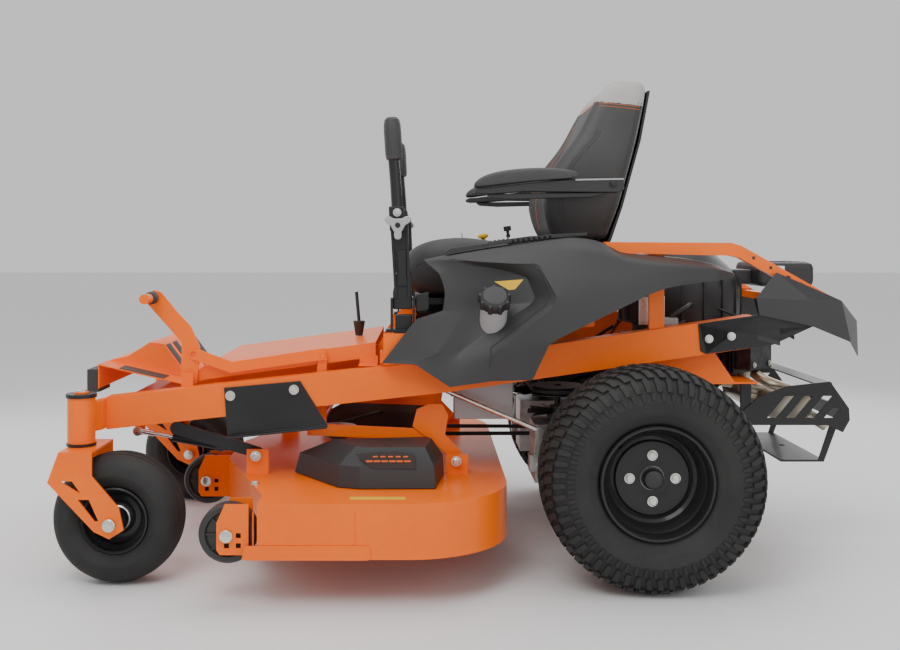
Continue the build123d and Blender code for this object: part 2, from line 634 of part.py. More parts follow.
def transaxle():
    """Hydrostatic transaxle: gear case, axle horn, pump housing and control shaft, left side."""
    case = block(-110, 150, 120, 312, 190, 368)
    case = fillet(case.edges().filter_by(Axis.Y), 30)
    pump = block(140, 268, 150, 300, 215, 372)
    horn = rod((0, 300, AXLE_Z), (0, 372, AXLE_Z), HORN_R)
    stud = rod((ARM_PIVOT[0], 300, ARM_PIVOT[1]), (ARM_PIVOT[0], 352, ARM_PIVOT[1]), 8)
    boss = block(240, 284, 270, 312, 248, 292)
    body = case + pump + horn + stud + boss
    body -= rod((0, 240, AXLE_Z), (0, 400, AXLE_Z), 17 + RUN)
    body -= rod((FAN_X, FAN_Y, 300), (FAN_X, FAN_Y, 500), 9 + RUN)
    body += block(-60, -52, 190, 300, 360, CRADLE_Z - PLATE)
    return body


def transaxle_fan():
    """Input shaft with its cooling fan and belt pulley, left side."""
    shaft = rod((FAN_X, FAN_Y, 310), (FAN_X, FAN_Y, DRIVE_BELT_Z + 16), 9)
    disc = Pos(FAN_X, FAN_Y, 386) * Cylinder(30, 14)
    for blade in range(10):
        turn = Pos(FAN_X, FAN_Y, 398) * Rot(0, 0, 36 * blade)
        disc += turn * Pos(52, 0, 0) * Rot(35, 0, 0) * Box(64, 26, 2)
    hub = Pos(FAN_X, FAN_Y, 398) * Cylinder(24, 30)
    return shaft + disc + hub + pulley(FAN_X, FAN_Y, DRIVE_BELT_Z, 62)


def control_arm():
    """Arm on the transaxle's control shaft, left side."""
    (px, pz), (ex, ez) = ARM_PIVOT, ARM_END
    outline = make_hull([*(Pos(px, pz) * Circle(16)).edges(), *(Pos(ex, ez) * Circle(11)).edges()])
    arm = Pos(0, ARM_Y + 6, 0) * extrude(Plane.XZ * outline, 6)
    return arm - rod((px, 300, pz), (px, 400, pz), 8 + RUN)


# ---- steering levers ------------------------------------------------------------------------------------
ROD_FRONT = (618, 512)
ROD_Y = 296
SWING_Z = 704
LEAN = math.radians(3.4)


def up_lever(z, y=LEVER_SPREAD):
    """A point on the lever's leaning centre line."""
    return (PIVOT_X - 8 + (z - SWING_Z) * math.tan(LEAN), y, z)


def lever_base():
    """Pivot hub, lower arm to the steering rod and the clevis that the lever swings in, left side."""
    (ex, ez) = ROD_FRONT
    hub = pipe((PIVOT_X, ROD_Y + 8, PIVOT_Z), (PIVOT_X, 392, PIVOT_Z), 20, 11 + RUN)
    outline = make_hull([*(Pos(PIVOT_X, PIVOT_Z) * Circle(20)).edges(), *(Pos(ex, ez) * Circle(11)).edges()])
    arm = Pos(0, ROD_Y + 14, 0) * extrude(Plane.XZ * outline, 6)
    arm -= rod((PIVOT_X, 200, PIVOT_Z), (PIVOT_X, 500, PIVOT_Z), 11 + RUN)
    seat = block(PIVOT_X - 40, PIVOT_X + 36, 336, 386, PIVOT_Z + 18, PIVOT_Z + 26)
    seat += block(PIVOT_X - 14, PIVOT_X + 14, 336, 386, PIVOT_Z + 14, PIVOT_Z + 20)
    base = hub + arm + seat
    x = PIVOT_X - 8
    for side in (-1, 1):
        base += block(x + side * 26, x + side * 32, 336, 386, PIVOT_Z + 20, SWING_Z + 16)
    return base


def lever():
    """Swinging lever: channel foot, upright, clamp with its adjusting knob, bent tube and grip, left side."""
    foot_x, y, z = up_lever(SWING_Z)
    pin = rod((foot_x - 26 + RUN, y, SWING_Z), (foot_x + 26 - RUN, y, SWING_Z), 8)
    foot = block(foot_x - 24, foot_x + 24, y - 13, y + 13, SWING_Z - 20, SWING_Z + 30)
    low, high = Vector(*up_lever(SWING_Z + 20)), Vector(*up_lever(945))
    place = Plane(origin=low, x_dir=(1, 0, 0), z_dir=high - low)
    upright = extrude(place * RectangleRounded(44, 26, 5), (high - low).length)
    tube = rod(up_lever(915), up_lever(1110), 15.5)
    clamp = extrude(Plane(origin=Vector(*up_lever(905)), x_dir=(1, 0, 0),
                          z_dir=high - low) * Rectangle(50, 40), 70)
    bolt = rod(Vector(*up_lever(946, y + 20)), Vector(*up_lever(946, y + 30)), 10)
    return [pin + foot + upright + tube + clamp + bolt, lever_knob(), lever_grip()]


def lever_knob():
    """Three-winged clamping knob on the outboard side, left side."""
    x, y, z = up_lever(912)
    star = Circle(16)
    for turn in (30, 150, 270):
        star += Rot(0, 0, turn) * Pos(17, 0) * RectangleRounded(42, 22, 8)
    return Pos(x, y + 40, z) * extrude(Plane.XZ * star, 20)


def lever_grip():
    """Moulded grip over the tube's end, left side."""
    low, high = Vector(*up_lever(1092)), Vector(*up_lever(1200))
    grip = rod(low, high, 20.5)
    return grip - rod(up_lever(900), up_lever(1110), 15.5)


def steering_rod():
    """Push rod from the lever's lower arm to the transaxle arm, left side."""
    (xa, za), (xb, zb) = ROD_FRONT, ARM_END
    start, end = Vector(xa, ROD_Y, za), Vector(xb, ARM_Y - 8, zb)
    bar = rod(start, end, 6.5)
    bar += rod((xa, ROD_Y - 7, za), (xa, ROD_Y + 7.5, za), 12)
    bar += rod((xb, ARM_Y - 14, zb), (xb, ARM_Y - GAP, zb), 12)
    return bar


def control_stand():
    """Fixed post top with the pin that a steering lever pivots on, and its stop bolts, left side."""
    pin = rod((PIVOT_X, 318, PIVOT_Z), (PIVOT_X, 396, PIVOT_Z), 11)
    cheek = block(POST_X[0], POST_X[1] - 10, 394, 399, PIVOT_Z - 60, PIVOT_Z + 16)
    foot = block(POST_X[0], POST_X[1] - 10, RAIL_OUT, 399, PIVOT_Z - 65, PIVOT_Z - 60)
    return pin + cheek + foot


# ---- seat -------------------------------------------------------------------------------------------------
SEAT_HINGE = (608, 668)
PLATFORM_Z = 672
SEAT_HALF = SEAT_WIDTH / 2
BACK_LINE = [(228, 890), (262, 940), (270, 985), (255, 1040), (225, 1085), (176, 1125), (150, 1160),
             (110, 1240),
             (80, 1295), (40, 1332), (-20, 1345), (-52, 1335), (-60, 1300), (-30, 1160), (20, 970),
             (52, 882)]
ARM_HINGE = (58, 1026)


def seat_platform():
    """Tilting plate with two slide rails and the hinge barrel at its front."""
    plate = block(120, 583, -200, 200, PLATFORM_Z - 4, PLATFORM_Z)
    plate += block(580, 604, -170, 170, PLATFORM_Z - 4, PLATFORM_Z)
    for side in (-1, 1):
        plate += block(150, 560, side * 130, side * 164, PLATFORM_Z, PLATFORM_Z + 22)
    barrel = rod((SEAT_HINGE[0], -180, SEAT_HINGE[1]), (SEAT_HINGE[0], 180, SEAT_HINGE[1]), 9)
    return plate + barrel


def seat_hinge_ears():
    """Ears on the frame that hold the seat platform's hinge, both sides, with the rest for its rear."""
    pieces = []
    for side in (-1, 1):
        hx, hz = SEAT_HINGE
        line = [(hx - 16, hz + 16), (hx + 16, hz + 16), (CROSS_X[1], 580), (CROSS_X[1], CROSS_Z),
                (CROSS_X[0], CROSS_Z),
                (hx - 16, hz - 28)]
        ear = side_sheet(line, side * 184, side * 190)
        ear += rod((hx, side * (180 + RUN), hz), (hx, side * 190, hz), 6)
        pieces.append(ear)
    pieces.append(block(110, 150, -RAIL_IN, RAIL_IN, 640, 667))
    return pieces


def seat_pan():
    """Pressed pan under the cushion that slides on the rails, with the back shell's upright."""
    low = PLATFORM_Z + 22 + GAP
    pan = block(130, 600, -SEAT_HALF + 20, SEAT_HALF - 20, low, low + 18)
    spine = [(160, low + 18), (44, 876), (10, 970), (-42, 1160), (-68, 1300), (-76, 1300), (-50, 1160),
             (2, 970),
             (34, 876), (130, low)]
    upright = side_sheet(spine, -150, 150)
    return pan + upright


def seat_cushion():
    """Deep base cushion with a rolled front."""
    low = PLATFORM_Z + 22 + GAP + 18
    line = [(190, low), (190, 850), (300, 868), (436, 896), (540, 890), (610, 862), (645, 810),
            (650, 750), (625, low)]
    cushion = side_sheet(line, -SEAT_HALF, SEAT_HALF)
    return fillet(cushion.edges().filter_by(Axis.Y).group_by(Axis.X)[-1], 12)


def seat_back():
    """High back cushion."""
    back = side_sheet(BACK_LINE, -SEAT_HALF + 10, SEAT_HALF - 10)
    return back - block(-200, 400, -SEAT_HALF, SEAT_HALF, 0, 905)


def armrest():
    """Folding armrest with its pad on a tray, left side."""
    (hx, hz) = ARM_HINGE
    pad = side_sheet([(428, 1012), (428, 1040), (390, 1062), (240, 1070), (150, 1062), (140, 1044),
                      (300, 1040)], 262, 322, corner=4)
    tray = side_sheet([(436, 1002), (432, 1011), (300, 1039), (140, 1043), (28, 1043), (28, 1008),
                       (260, 1005), (400, 994)], 266, 314)
    boss = rod((hx, SEAT_HALF - 10 + GAP, hz), (hx, 268, hz), 20)
    return [pad, tray + boss]


# ---- deck -------------------------------------------------------------------------------------------------
ROLLER_R = 70
ROLLER_Z = 172
ROLLER_X = DECK_SHOULDER + 74
ROLLER_Y = DECK_SIDE - 48
ROLLERS = {
    "left": (ROLLER_X, ROLLER_Y),
    "centre": (DECK_FRONT + 73, 40),
    "right": (ROLLER_X, -ROLLER_Y),
}
ROLLER_HALF = 28


def deck_outline(inset=0.0):
    """The deck seen from above: straight rear, round rear corners, bow-shaped front."""
    side = DECK_SIDE
    radius = side - BLADE_SPREAD
    bow = [(DECK_SHOULDER, side), (DECK_SHOULDER, side - 88), (DECK_FRONT - 5, 140), (DECK_FRONT, 0)]
    points = [(DECK_REAR, -side)] + [(x, -y) for x, y in bow] + bow[-2::-1] + [(DECK_REAR, side)]
    outline = Polygon(*points, align=None)
    corners = outline.vertices().group_by(Axis.X)[0]
    outline = fillet(corners, radius)
    return offset(outline, -inset) if inset else outline


def deck_shell():
    """Welded deck: skin, spindle housings, roller brackets, hanger ears and a wear strip."""
    shell = Pos(0, 0, DECK_CLEARANCE) * extrude(deck_outline(), DECK_HEIGHT)
    shell -= Pos(0, 0, DECK_CLEARANCE - 1) * extrude(deck_outline(DECK_WALL), DECK_HEIGHT + 1 - DECK_WALL)
    shell -= block(600, 940, -DECK_SIDE - 10, -DECK_SIDE + 60, DECK_CLEARANCE - 1, DECK_TOP - 20)
    for x, y in SPINDLES.values():
        shell -= rod((x, y, 0), (x, y, 600), 20)
    pieces = [shell]
    for x, y in SPINDLES.values():
        housing = [(13, -40), (19.5, -40), (19.5, 0), (62, 0), (62, 8), (34, 14), (34, 34), (13, 34)]
        pieces.append(spun(housing, x, y, DECK_TOP))
    return pieces + deck_brackets() + chute_lugs()


ROLLER_BRACKET_REACH = 52


def roller_bracket(x, y, foot_x):
    """Fork of two plates that holds an anti-scalp wheel in front of the deck."""
    pieces = []
    for side in (-1, 1):
        face = y + side * (ROLLER_HALF + 3)
        line = [(foot_x, DECK_CLEARANCE + 8), (foot_x, DECK_TOP - 4), (x + 4, DECK_TOP - 4),
                (x + 24, ROLLER_Z + 30),
                (x + 24, DECK_CLEARANCE + 20), (x + 16, DECK_CLEARANCE + 8)]
        plate = side_sheet(line, face, face + side * PLATE)
        for hx, hz in ((x, ROLLER_Z - 24), (x - 28, ROLLER_Z - 24), (x - 28, ROLLER_Z)):
            plate -= block(hx - 6, hx + 6, y - 100, y + 100, hz - 6, hz + 6)
        pieces.append(plate)
    axle = rod((x, y - ROLLER_HALF - 3, ROLLER_Z), (x, y + ROLLER_HALF + 3, ROLLER_Z), 8)
    heads = []
    for side in (-1, 1):
        face = y + side * (ROLLER_HALF + 3 + PLATE)
        heads.append(rod((x, face, ROLLER_Z), (x, face + side * 9, ROLLER_Z), 14))
    bracket = pieces[0] + pieces[1] + axle + heads[0] + heads[1]
    return bracket


HANGER_FRONT = (1015, 306)
HANGER_REAR = (483, 292)


def deck_brackets():
    """Roller forks, the four hanger ears and the wear strip along the left side."""
    pieces = []
    for side in ("left", "right"):
        x, y = ROLLERS[side]
        pieces.append(roller_bracket(x, y, x - ROLLER_BRACKET_REACH))
    x, y = ROLLERS["centre"]
    pieces.append(roller_bracket(x, y, DECK_FRONT + 1))
    for hx, hz in (HANGER_FRONT, HANGER_REAR):
        for y in (DECK_HANG_Y, -DECK_HANG_Y):
            side = 1 if y > 0 else -1
            ear = block(hx - 32, hx + 26, y, y + side * PLATE, DECK_TOP, hz + 10)
            ear += rod((hx, y - side * 16, hz - 6), (hx, y + side * (PLATE + 8), hz - 6), 7)
            pieces.append(ear)
    strip = block(700, 985, DECK_SIDE, DECK_SIDE + PLATE, DECK_CLEARANCE, DECK_CLEARANCE + 34)
    return pieces + [strip]


DECK_HANG_Y = 345


def deck_cover():
    """Moulded cover over a spindle pulley, open underneath and towards the belt, left side."""
    x, y = SPINDLES["left"]
    outer = [(x - 92, y - 68), (x - 66, y + 102), (x + 123, y + 106), (x + 180, y + 84), (x + 310, y - 98),
             (x - 70, y - 98)]
    low, high = DECK_TOP + GAP, BELT_Z + 44
    place = Polygon(*outer, align=None)
    cover = Pos(0, 0, low) * extrude(place, high - low, dir=(0, 0, 1), taper=7)
    hollow = Pos(0, 0, low - 1) * extrude(offset(place, -4), high - low - 4, dir=(0, 0, 1), taper=7)
    cover -= hollow
    cover -= block(x - 200, x + 400, y - 400, y - 84, low - 1, BELT_Z + 22)
    arch = side_sheet([(x - 10, low - 1), (x + 10, low + 16), (x + 90, low + 16), (x + 110, low - 1)],
                      y + 40, y + 200)
    return cover - arch - Pos(x, y, BELT_Z) * Cylinder(DECK_PULLEY_R + 18, 34)


def blade(name):
    """Spindle shaft with its pulley above the deck and the cutting blade below."""
    x, y = SPINDLES[name]
    shaft = rod((x, y, DECK_CLEARANCE + 18), (x, y, BELT_Z + 20), 12.6)
    half, width = BLADE_LENGTH / 2, 62
    bar = block(x - half, x + half, y - width / 2, y + width / 2, DECK_CLEARANCE + 12, DECK_CLEARANCE + 18)
    for side in (-1, 1):
        wing = [(0, 0), (0, 6), (24, 30), (24, 24)]
        lift = Polygon(*wing, align=None)
        piece = extrude(Plane.YZ * lift, 90)
        turn = Pos(x, y, DECK_CLEARANCE + 12) * Rot(0, 0, 0 if side == 1 else 180)
        bar += turn * Pos(half - 95, width / 2 - 6, 0) * piece
    bolt = Pos(x, y, DECK_CLEARANCE + 6) * Cylinder(20, 12)
    return [bar + bolt, shaft + pulley(x, y, BELT_Z, DECK_PULLEY_R)]


def belts():
    """Deck belt round the clutch and three spindle pulleys, and transaxle belt above it."""
    radius = DECK_PULLEY_R + RUN
    engine = Pos(ENGINE_X, 0) * Circle(radius)
    spindles = [Pos(x, y) * Circle(radius) for x, y in SPINDLES.values()]
    waist = Pos(SPINDLE_X - 17, 0) * Circle(62)
    front = make_hull([edge for circle in spindles for edge in circle.edges()])
    tail = make_hull([*engine.edges(), *waist.edges()])
    loop = front + tail
    band = Pos(0, 0, BELT_Z - 5) * extrude(offset(loop, BELT_THICK) - loop, 10)
    drive = Pos(ENGINE_X, 0) * Circle(68 + RUN)
    fans = [Pos(FAN_X, side * FAN_Y) * Circle(62 + RUN) for side in (-1, 1)]
    upper = make_hull([*drive.edges(), *fans[0].edges(), *fans[1].edges()])
    top_band = Pos(0, 0, DRIVE_BELT_Z - 5) * extrude(offset(upper, BELT_THICK) - upper, 10)
    return [band, top_band]


def roller(name):
    """Anti-scalp wheel."""
    x, y = ROLLERS[name]
    w = ROLLER_HALF - GAP
    line = [(8 + RUN, -w), (20, -w), (20, -w + 8), (52, -w + 8), (52, -w), (ROLLER_R - 6, -w),
            (ROLLER_R, -w + 10)]
    line += [(radius, -offset_y) for radius, offset_y in reversed(line)]
    return turned(line, x, y, ROLLER_Z)


CHUTE_HINGE = (-DECK_SIDE - 8, DECK_TOP)
CHUTE_PIN = 3.0


def chute():
    """Discharge chute hinged on the right edge of the deck."""
    y = -DECK_SIDE
    top = [(y - GAP, DECK_TOP - 4), (y - 90, DECK_TOP - 10), (y - CHUTE_REACH, 158), (y - CHUTE_REACH, 154),
           (y - 92, DECK_TOP - 14), (y - GAP, DECK_TOP - 8)]
    roof = extrude(Plane.YZ.offset(590) * Polygon(*top, align=None), 360)
    cheek = [(y - GAP, DECK_TOP - 4), (y - 90, DECK_TOP - 10), (y - CHUTE_REACH, 158)]
    cheek += [(y - CHUTE_REACH, 148), (y - 8, 150)]
    for x in (590, 946):
        roof += extrude(Plane.YZ.offset(x) * Polygon(*cheek, align=None), 4)
    return roof + pipe((590, *CHUTE_HINGE), (950, *CHUTE_HINGE), 6, CHUTE_PIN + RUN)


def chute_lugs():
    """Two lugs on the deck's right edge, each with a pin in the end of the chute's barrel."""
    y, z = CHUTE_HINGE
    pieces = []
    for lug_x, tip_x in ((576, 602), (954, 938)):
        lug = block(lug_x, lug_x + 10, y - 7, 4 - DECK_SIDE, z - 14, z + 7)
        pieces.append(lug + rod((lug_x + 5, y, z), (tip_x, y, z), CHUTE_PIN))
    return pieces


# ---- deck lift --------------------------------------------------------------------------------------------
ARM_X, ARM_Z = 860, 362     # pivot of the lift arms
CRANK_END = (842, 560)
PEDAL_PIVOT = (1205, 500)
PEDAL_PIN = (1191, 566)
PEDAL_Y = 306
FRONT_ARM_X, FRONT_ARM_Z = 1235, 366


def bar(start, end, radius_a, radius_b, y0, y1):
    """A flat link with round ends, seen from the side."""
    ends = [*(Pos(*start) * Circle(radius_a)).edges(), *(Pos(*end) * Circle(radius_b)).edges()]
    return Pos(0, max(y0, y1), 0) * extrude(Plane.XZ * make_hull(ends), abs(y1 - y0))


def lift_arms():
    """Cross shaft with a trailing arm and a selector plate each side and the crank to the pedal link."""
    shaft = rod((ARM_X, -RAIL_IN + 12, ARM_Z), (ARM_X, RAIL_IN - 12, ARM_Z), 8.6)
    pieces = shaft
    for side in (-1, 1):
        y0, y1 = side * (RAIL_IN - 12), side * (RAIL_IN - 12 + 8)
        arm = bar((ARM_X, ARM_Z), (545, 348), 16, 15, y0, y1)
        plate = side_sheet([(600, 372), (588, 418), (556, 432), (520, 432), (503, 402), (512, 350),
                            (466, 302),
                            (492, 284), (545, 330)], y1, y1 + side * PLATE)
        pieces += arm + plate
    crank = bar((ARM_X, ARM_Z), CRANK_END, 16, 12, PEDAL_Y, PEDAL_Y - 7)
    return pieces + crank + rod((CRANK_END[0], PEDAL_Y - 14, CRANK_END[1]),
                                (CRANK_END[0], PEDAL_Y + 8, CRANK_END[1]), 7)


def front_lift_arms():
    """Front cross shaft with a trailing arm each side that carries the front of the deck."""
    shaft = rod((FRONT_ARM_X, -RAIL_IN + 2, FRONT_ARM_Z), (FRONT_ARM_X, RAIL_IN - 2, FRONT_ARM_Z), 8.6)
    for side in (-1, 1):
        y0, y1 = side * (RAIL_IN - 10), side * (RAIL_IN - 2)
        shaft += bar((FRONT_ARM_X, FRONT_ARM_Z), (HANGER_FRONT[0], HANGER_FRONT[1] - 6), 18, 15, y0, y1)
    return shaft


def lift_link():
    """Bar from the pedal to the crank."""
    (xa, za), (xb, zb) = PEDAL_PIN, CRANK_END
    line = [(xa + 14, za + 12), (xa - 14, za + 12), (1085, 545), (xb - 4, zb + 22), (xb - 12, zb - 10),
            (xb + 30, zb - 14),
            (1090, 515), (xa + 4, za - 14)]
    link = side_sheet(line, PEDAL_Y + 3, PEDAL_Y + 8)
    return link - rod((xb, 200, zb), (xb, 400, zb), 7 + RUN) - rod((xa, 200, za), (xa, 400, za), 7 + RUN)


def foot_pedal():
    """Foot lever that raises the deck, with its rubber-capped peg."""
    (px, pz), (nx, nz) = PEDAL_PIVOT, PEDAL_PIN
    line = [(px - 20, pz - 14), (px + 18, pz - 14), (px + 22, pz + 20), (nx + 32, nz + 30), (1262, 640),
            (1318, 702),
            (1316, 726), (1300, 738), (1280, 732), (1238, 680), (1200, 640), (nx - 14, nz + 22),
            (nx - 18, nz)]
    plate = side_sheet(line, PEDAL_Y - 8, PEDAL_Y)
    peg = rod((1299, PEDAL_Y - 8, 718), (1299, PEDAL_Y + 92, 718), 9)
    cap = rod((1299, PEDAL_Y + 60, 718), (1299, PEDAL_Y + 104, 718), 13)
    pin = rod((nx, PEDAL_Y - 8, nz), (nx, PEDAL_Y + 2, nz), 7)
    hub = pipe((px, PEDAL_Y - 12, pz), (px, PEDAL_Y + 2, pz), 14, 7 + RUN)
    plate -= rod((px, 200, pz), (px, 400, pz), 7 + RUN)
    return plate + peg + cap + hub + pin


def strut():
    """Gas strut between the front ear and the lift: rod and clevis, and cylinder."""
    start, end = Vector(1344, STRUT_Y, 356), Vector(1119, STRUT_Y, 315)
    along = (end - start).normalized()
    inner = rod(start + along * 14, start + along * 130, 5)
    inner += rod(start, start + along * 44, 8)
    inner += rod((start.X, STRUT_Y - 15, start.Z), (start.X, STRUT_Y + 10, start.Z), 13)
    outer = pipe(start + along * 96, end, 12.5, 5 + RUN)
    outer += rod((end.X, STRUT_Y - 10, end.Z), (end.X, STRUT_Y + 14, end.Z), 14)
    outer -= rod(start + along * 50, start + along * 190, 5 + RUN)
    return inner, outer


HEIGHT_PIN = (763, 588.5)


def height_pin():
    """Pull-up selector pin with a flared knob at the rear of the floor."""
    x, z = HEIGHT_PIN
    knob = Pos(x, 0, z + 1) * extrude(Circle(11), 44, taper=-9)
    return knob + rod((x, 0, z + 40), (x + 8, 0, z + 132), 5)


SWITCH_X = {"key": 440, "clutch": 372, "throttle": 290}
SWITCH_TILT = math.degrees(math.atan2(889 - 852, 498 - 223))


def on_panel(x):
    """Where a control stands on the sloping right-hand panel: the panel's surface, tilted with it."""
    top = 852 + (498 - x) * math.tan(math.radians(SWITCH_TILT))
    return Pos(x, -332, top + 0.5) * Rot(0, SWITCH_TILT, 0)


def ignition_key():
    """Key with its round bow."""
    stem = on_panel(SWITCH_X["key"]) * Pos(0, 0, 9) * Cylinder(7, 18)
    return stem + on_panel(SWITCH_X["key"]) * Pos(0, 0, 28) * Box(5, 24, 22)


def clutch_knob():
    """Pull knob that engages the blades."""
    outline = [(0, 0), (7, 0), (7, 12), (18, 16), (18, 24), (14, 28), (0, 28)]
    return on_panel(SWITCH_X["clutch"]) * revolve(Plane.XZ * Polygon(*outline, align=None), Axis.Z)


def throttle_lever():
    """Throttle lever with its flat knob, pivoting below the panel's surface."""
    stalk = on_panel(SWITCH_X["throttle"]) * Pos(0, 0, 19) * Box(10, 4, 30)
    stalk += on_panel(SWITCH_X["throttle"]) * Pos(0, 0, 10) * Rot(90, 0, 0) * Cylinder(7, 8)
    return stalk + on_panel(SWITCH_X["throttle"]) * Pos(0, 0, 34) * Box(24, 14, 16)


def fasteners():
    """Bolt heads on the rails and brackets."""
    pieces = []
    for x, z in STEP_BOLTS:
        pieces += both(hexagon_bolt((x, RAIL_OUT + PLATE, z), (0, 1, 0), across=20, height=8, washer=13))
    for x, z in ((-184, 612), (-243, 619)):
        pieces += both(hexagon_bolt((x, RAIL_OUT + PLATE, z), (0, 1, 0), across=18, height=8, washer=11))
    return pieces


# ---- write the nodes --------------------------------------------------------------------------------------
def main():
    os.makedirs("parts", exist_ok=True)
    save("frame", *frame(), *seat_hinge_ears(), *both(control_stand()))
    save("floor_pan", floor_pan(), *both(toe_feet()))
    save("toe_board_trim", *grip_pads(), *both(headlamp()))
    save("side_plates", *both(step_plate()), *both(rear_side_guard()))
    save("fenders", *both(fender()))
    save("console_lids", *both(console_lid()))
    save("ignition_key", ignition_key())
    save("clutch_knob", clutch_knob())
    save("throttle_lever", throttle_lever())
    save("fuel_tanks", *both(fuel_tank()))
    save("hood_frame", *hood_frame())
    cheeks = guard_panels()
    save("rear_guard", *cheeks, *[mirrored(cheek) for cheek in cheeks])
    save("rear_cage", *rear_cage(), hitch())
    save("muffler", muffler())
    save("engine_block", *engine_block())
    save("engine_covers", *engine_covers())
    save("crankshaft", crankshaft())
    save("transaxles", *both(transaxle()))
    save("fasteners", *fasteners())
    save("belts", *belts())
    save("deck_shell", *deck_shell())
    save("deck_covers", *both(deck_cover()))
    save("chute", chute())
    save("lift_arms", lift_arms())
    save("front_lift_arms", front_lift_arms())
    save("lift_link", lift_link())
    save("foot_pedal", foot_pedal())
    strut_rod, strut_cylinder = strut()
    save("strut_rod", strut_rod)
    save("strut_cylinder", strut_cylinder)
    save("height_pin", height_pin())
    save("seat_platform", seat_platform())
    save("seat_pan", seat_pan())
    save("seat_cushion", seat_cushion())
    save("seat_back", seat_back())
    for name in SPINDLES:
        save(f"blade_{name}", *blade(name))
        save(f"antiscalp_wheel_{name}", roller(name))
    paired = {
        "fuel_cap": [fuel_cap()], "caster_fork": [caster_fork()],
        "caster_wheel": caster_wheel(), "drive_wheel": drive_wheel(), "transaxle_fan": [transaxle_fan()],
        "control_arm": [control_arm()], "steering_rod": [steering_rod()], "lever_base": [lever_base()],
        "lever": lever(), "armrest": armrest(),
    }
    for name, solids in paired.items():
        save(f"{name}_left", *solids)
        save(f"{name}_right", *[mirrored(solid) for solid in solids])


main()
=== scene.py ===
# %% [markdown]
# # A zero turn mower, dressed around its CAD frame
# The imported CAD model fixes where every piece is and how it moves. This script gives each piece its
# finished shape and surface. Places are written in the machine's own millimetres: X forward from the
# drive axle, Y to the operator's left, Z up from the ground. `at` turns them into the frame's metres.
# %% Load the frame
import json
import math

import bmesh
import bpy
from mathutils import Matrix, Vector, noise


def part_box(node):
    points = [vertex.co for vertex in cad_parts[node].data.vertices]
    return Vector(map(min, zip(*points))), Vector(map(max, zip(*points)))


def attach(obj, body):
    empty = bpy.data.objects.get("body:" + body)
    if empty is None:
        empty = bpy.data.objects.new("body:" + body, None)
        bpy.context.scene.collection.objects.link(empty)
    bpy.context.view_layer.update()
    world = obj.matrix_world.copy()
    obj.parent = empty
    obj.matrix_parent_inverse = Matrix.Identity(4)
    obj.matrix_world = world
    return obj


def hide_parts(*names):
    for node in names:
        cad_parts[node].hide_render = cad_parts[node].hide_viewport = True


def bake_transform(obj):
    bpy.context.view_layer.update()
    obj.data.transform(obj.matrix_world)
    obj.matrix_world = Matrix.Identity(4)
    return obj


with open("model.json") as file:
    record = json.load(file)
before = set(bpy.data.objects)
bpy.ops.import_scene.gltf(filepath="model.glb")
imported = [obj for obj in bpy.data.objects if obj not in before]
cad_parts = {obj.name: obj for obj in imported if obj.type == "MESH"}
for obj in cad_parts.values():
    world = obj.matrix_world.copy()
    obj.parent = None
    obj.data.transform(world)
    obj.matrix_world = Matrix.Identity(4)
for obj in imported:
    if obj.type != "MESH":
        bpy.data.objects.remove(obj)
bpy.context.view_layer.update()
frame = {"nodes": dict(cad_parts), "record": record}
body_of_node = {node: body for body, nodes in frame["record"]["behaviour"]["bodies"].items()
                for node in nodes}
slot_of_node = {part["node"]: part["material_slot"] for part in frame["record"]["subparts"]}

left_low, left_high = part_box("drive_wheel_left")
right_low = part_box("drive_wheel_right")[0]
AXLE_MIDDLE = Vector(((left_low.x + left_high.x) / 2, (right_low.y + left_high.y) / 2, 0))
SIDES = {"left": 1, "right": -1}


def at(x, y, z):
    """A point of the machine in the frame's metres."""
    return AXLE_MIDDLE + Vector((x, y, z)) / 1000


# %% [markdown]
# ## Camera, floor and light
# The camera stands level with the seat, square to the machine's left side, and a small shift frames
# the wheels as well. The floor is a large pale plane. Large soft lights suit gloss paint, because
# their broad reflections show how the sheet metal bends.
# %% Camera
CAMERA_X, CAMERA_Y, CAMERA_Z = 566, 3200, 860
camera_data = bpy.data.cameras.new("studio_camera")
camera_data.lens = 42.8
camera_data.shift_x = 0.0278
camera_data.shift_y = -0.0889
camera = bpy.data.objects.new("studio_camera", camera_data)
bpy.context.scene.collection.objects.link(camera)
camera.location = at(CAMERA_X, CAMERA_Y, CAMERA_Z)
camera.rotation_euler = (math.pi / 2, 0, math.pi)
bpy.context.scene.camera = camera

# %% [markdown]
# ### Lights
# Each lamp is a soft disk: its place, the point it faces, its size in metres and its power. A white
# world fills the shadows, as the walls of a studio would.
# %% Lights and world
LIGHTS = {
    "key": ((1500, 2600, 3200), (300, 0, 500), 2.0, 56),
    "fill": ((-1400, 3000, 1500), (300, 0, 500), 2.4, 16),
    "top": ((300, 0, 3600), (300, 0, 500), 3.0, 40),
    "behind": ((-1600, -2400, 2200), (300, 0, 600), 2.4, 30),
    "front_far": ((3000, -1500, 1800), (600, 0, 500), 2.0, 20),
}
for name, (place, target, size, power) in LIGHTS.items():
    lamp = bpy.data.lights.new(name, "AREA")
    lamp.shape = "DISK"
    lamp.size = size
    lamp.energy = power
    holder = bpy.data.objects.new(name, lamp)
    holder.location = at(*place)
    holder.rotation_euler = (at(*target) - at(*place)).to_track_quat("-Z", "Y").to_euler()
    bpy.context.scene.collection.objects.link(holder)
world = bpy.data.worlds.new("studio")
world.use_nodes = True
world.node_tree.nodes["Background"].inputs["Color"].default_value = (1.0, 1.0, 1.0, 1)
world.node_tree.nodes["Background"].inputs["Strength"].default_value = 0.78
bpy.context.scene.world = world
print("lights", sorted(LIGHTS))

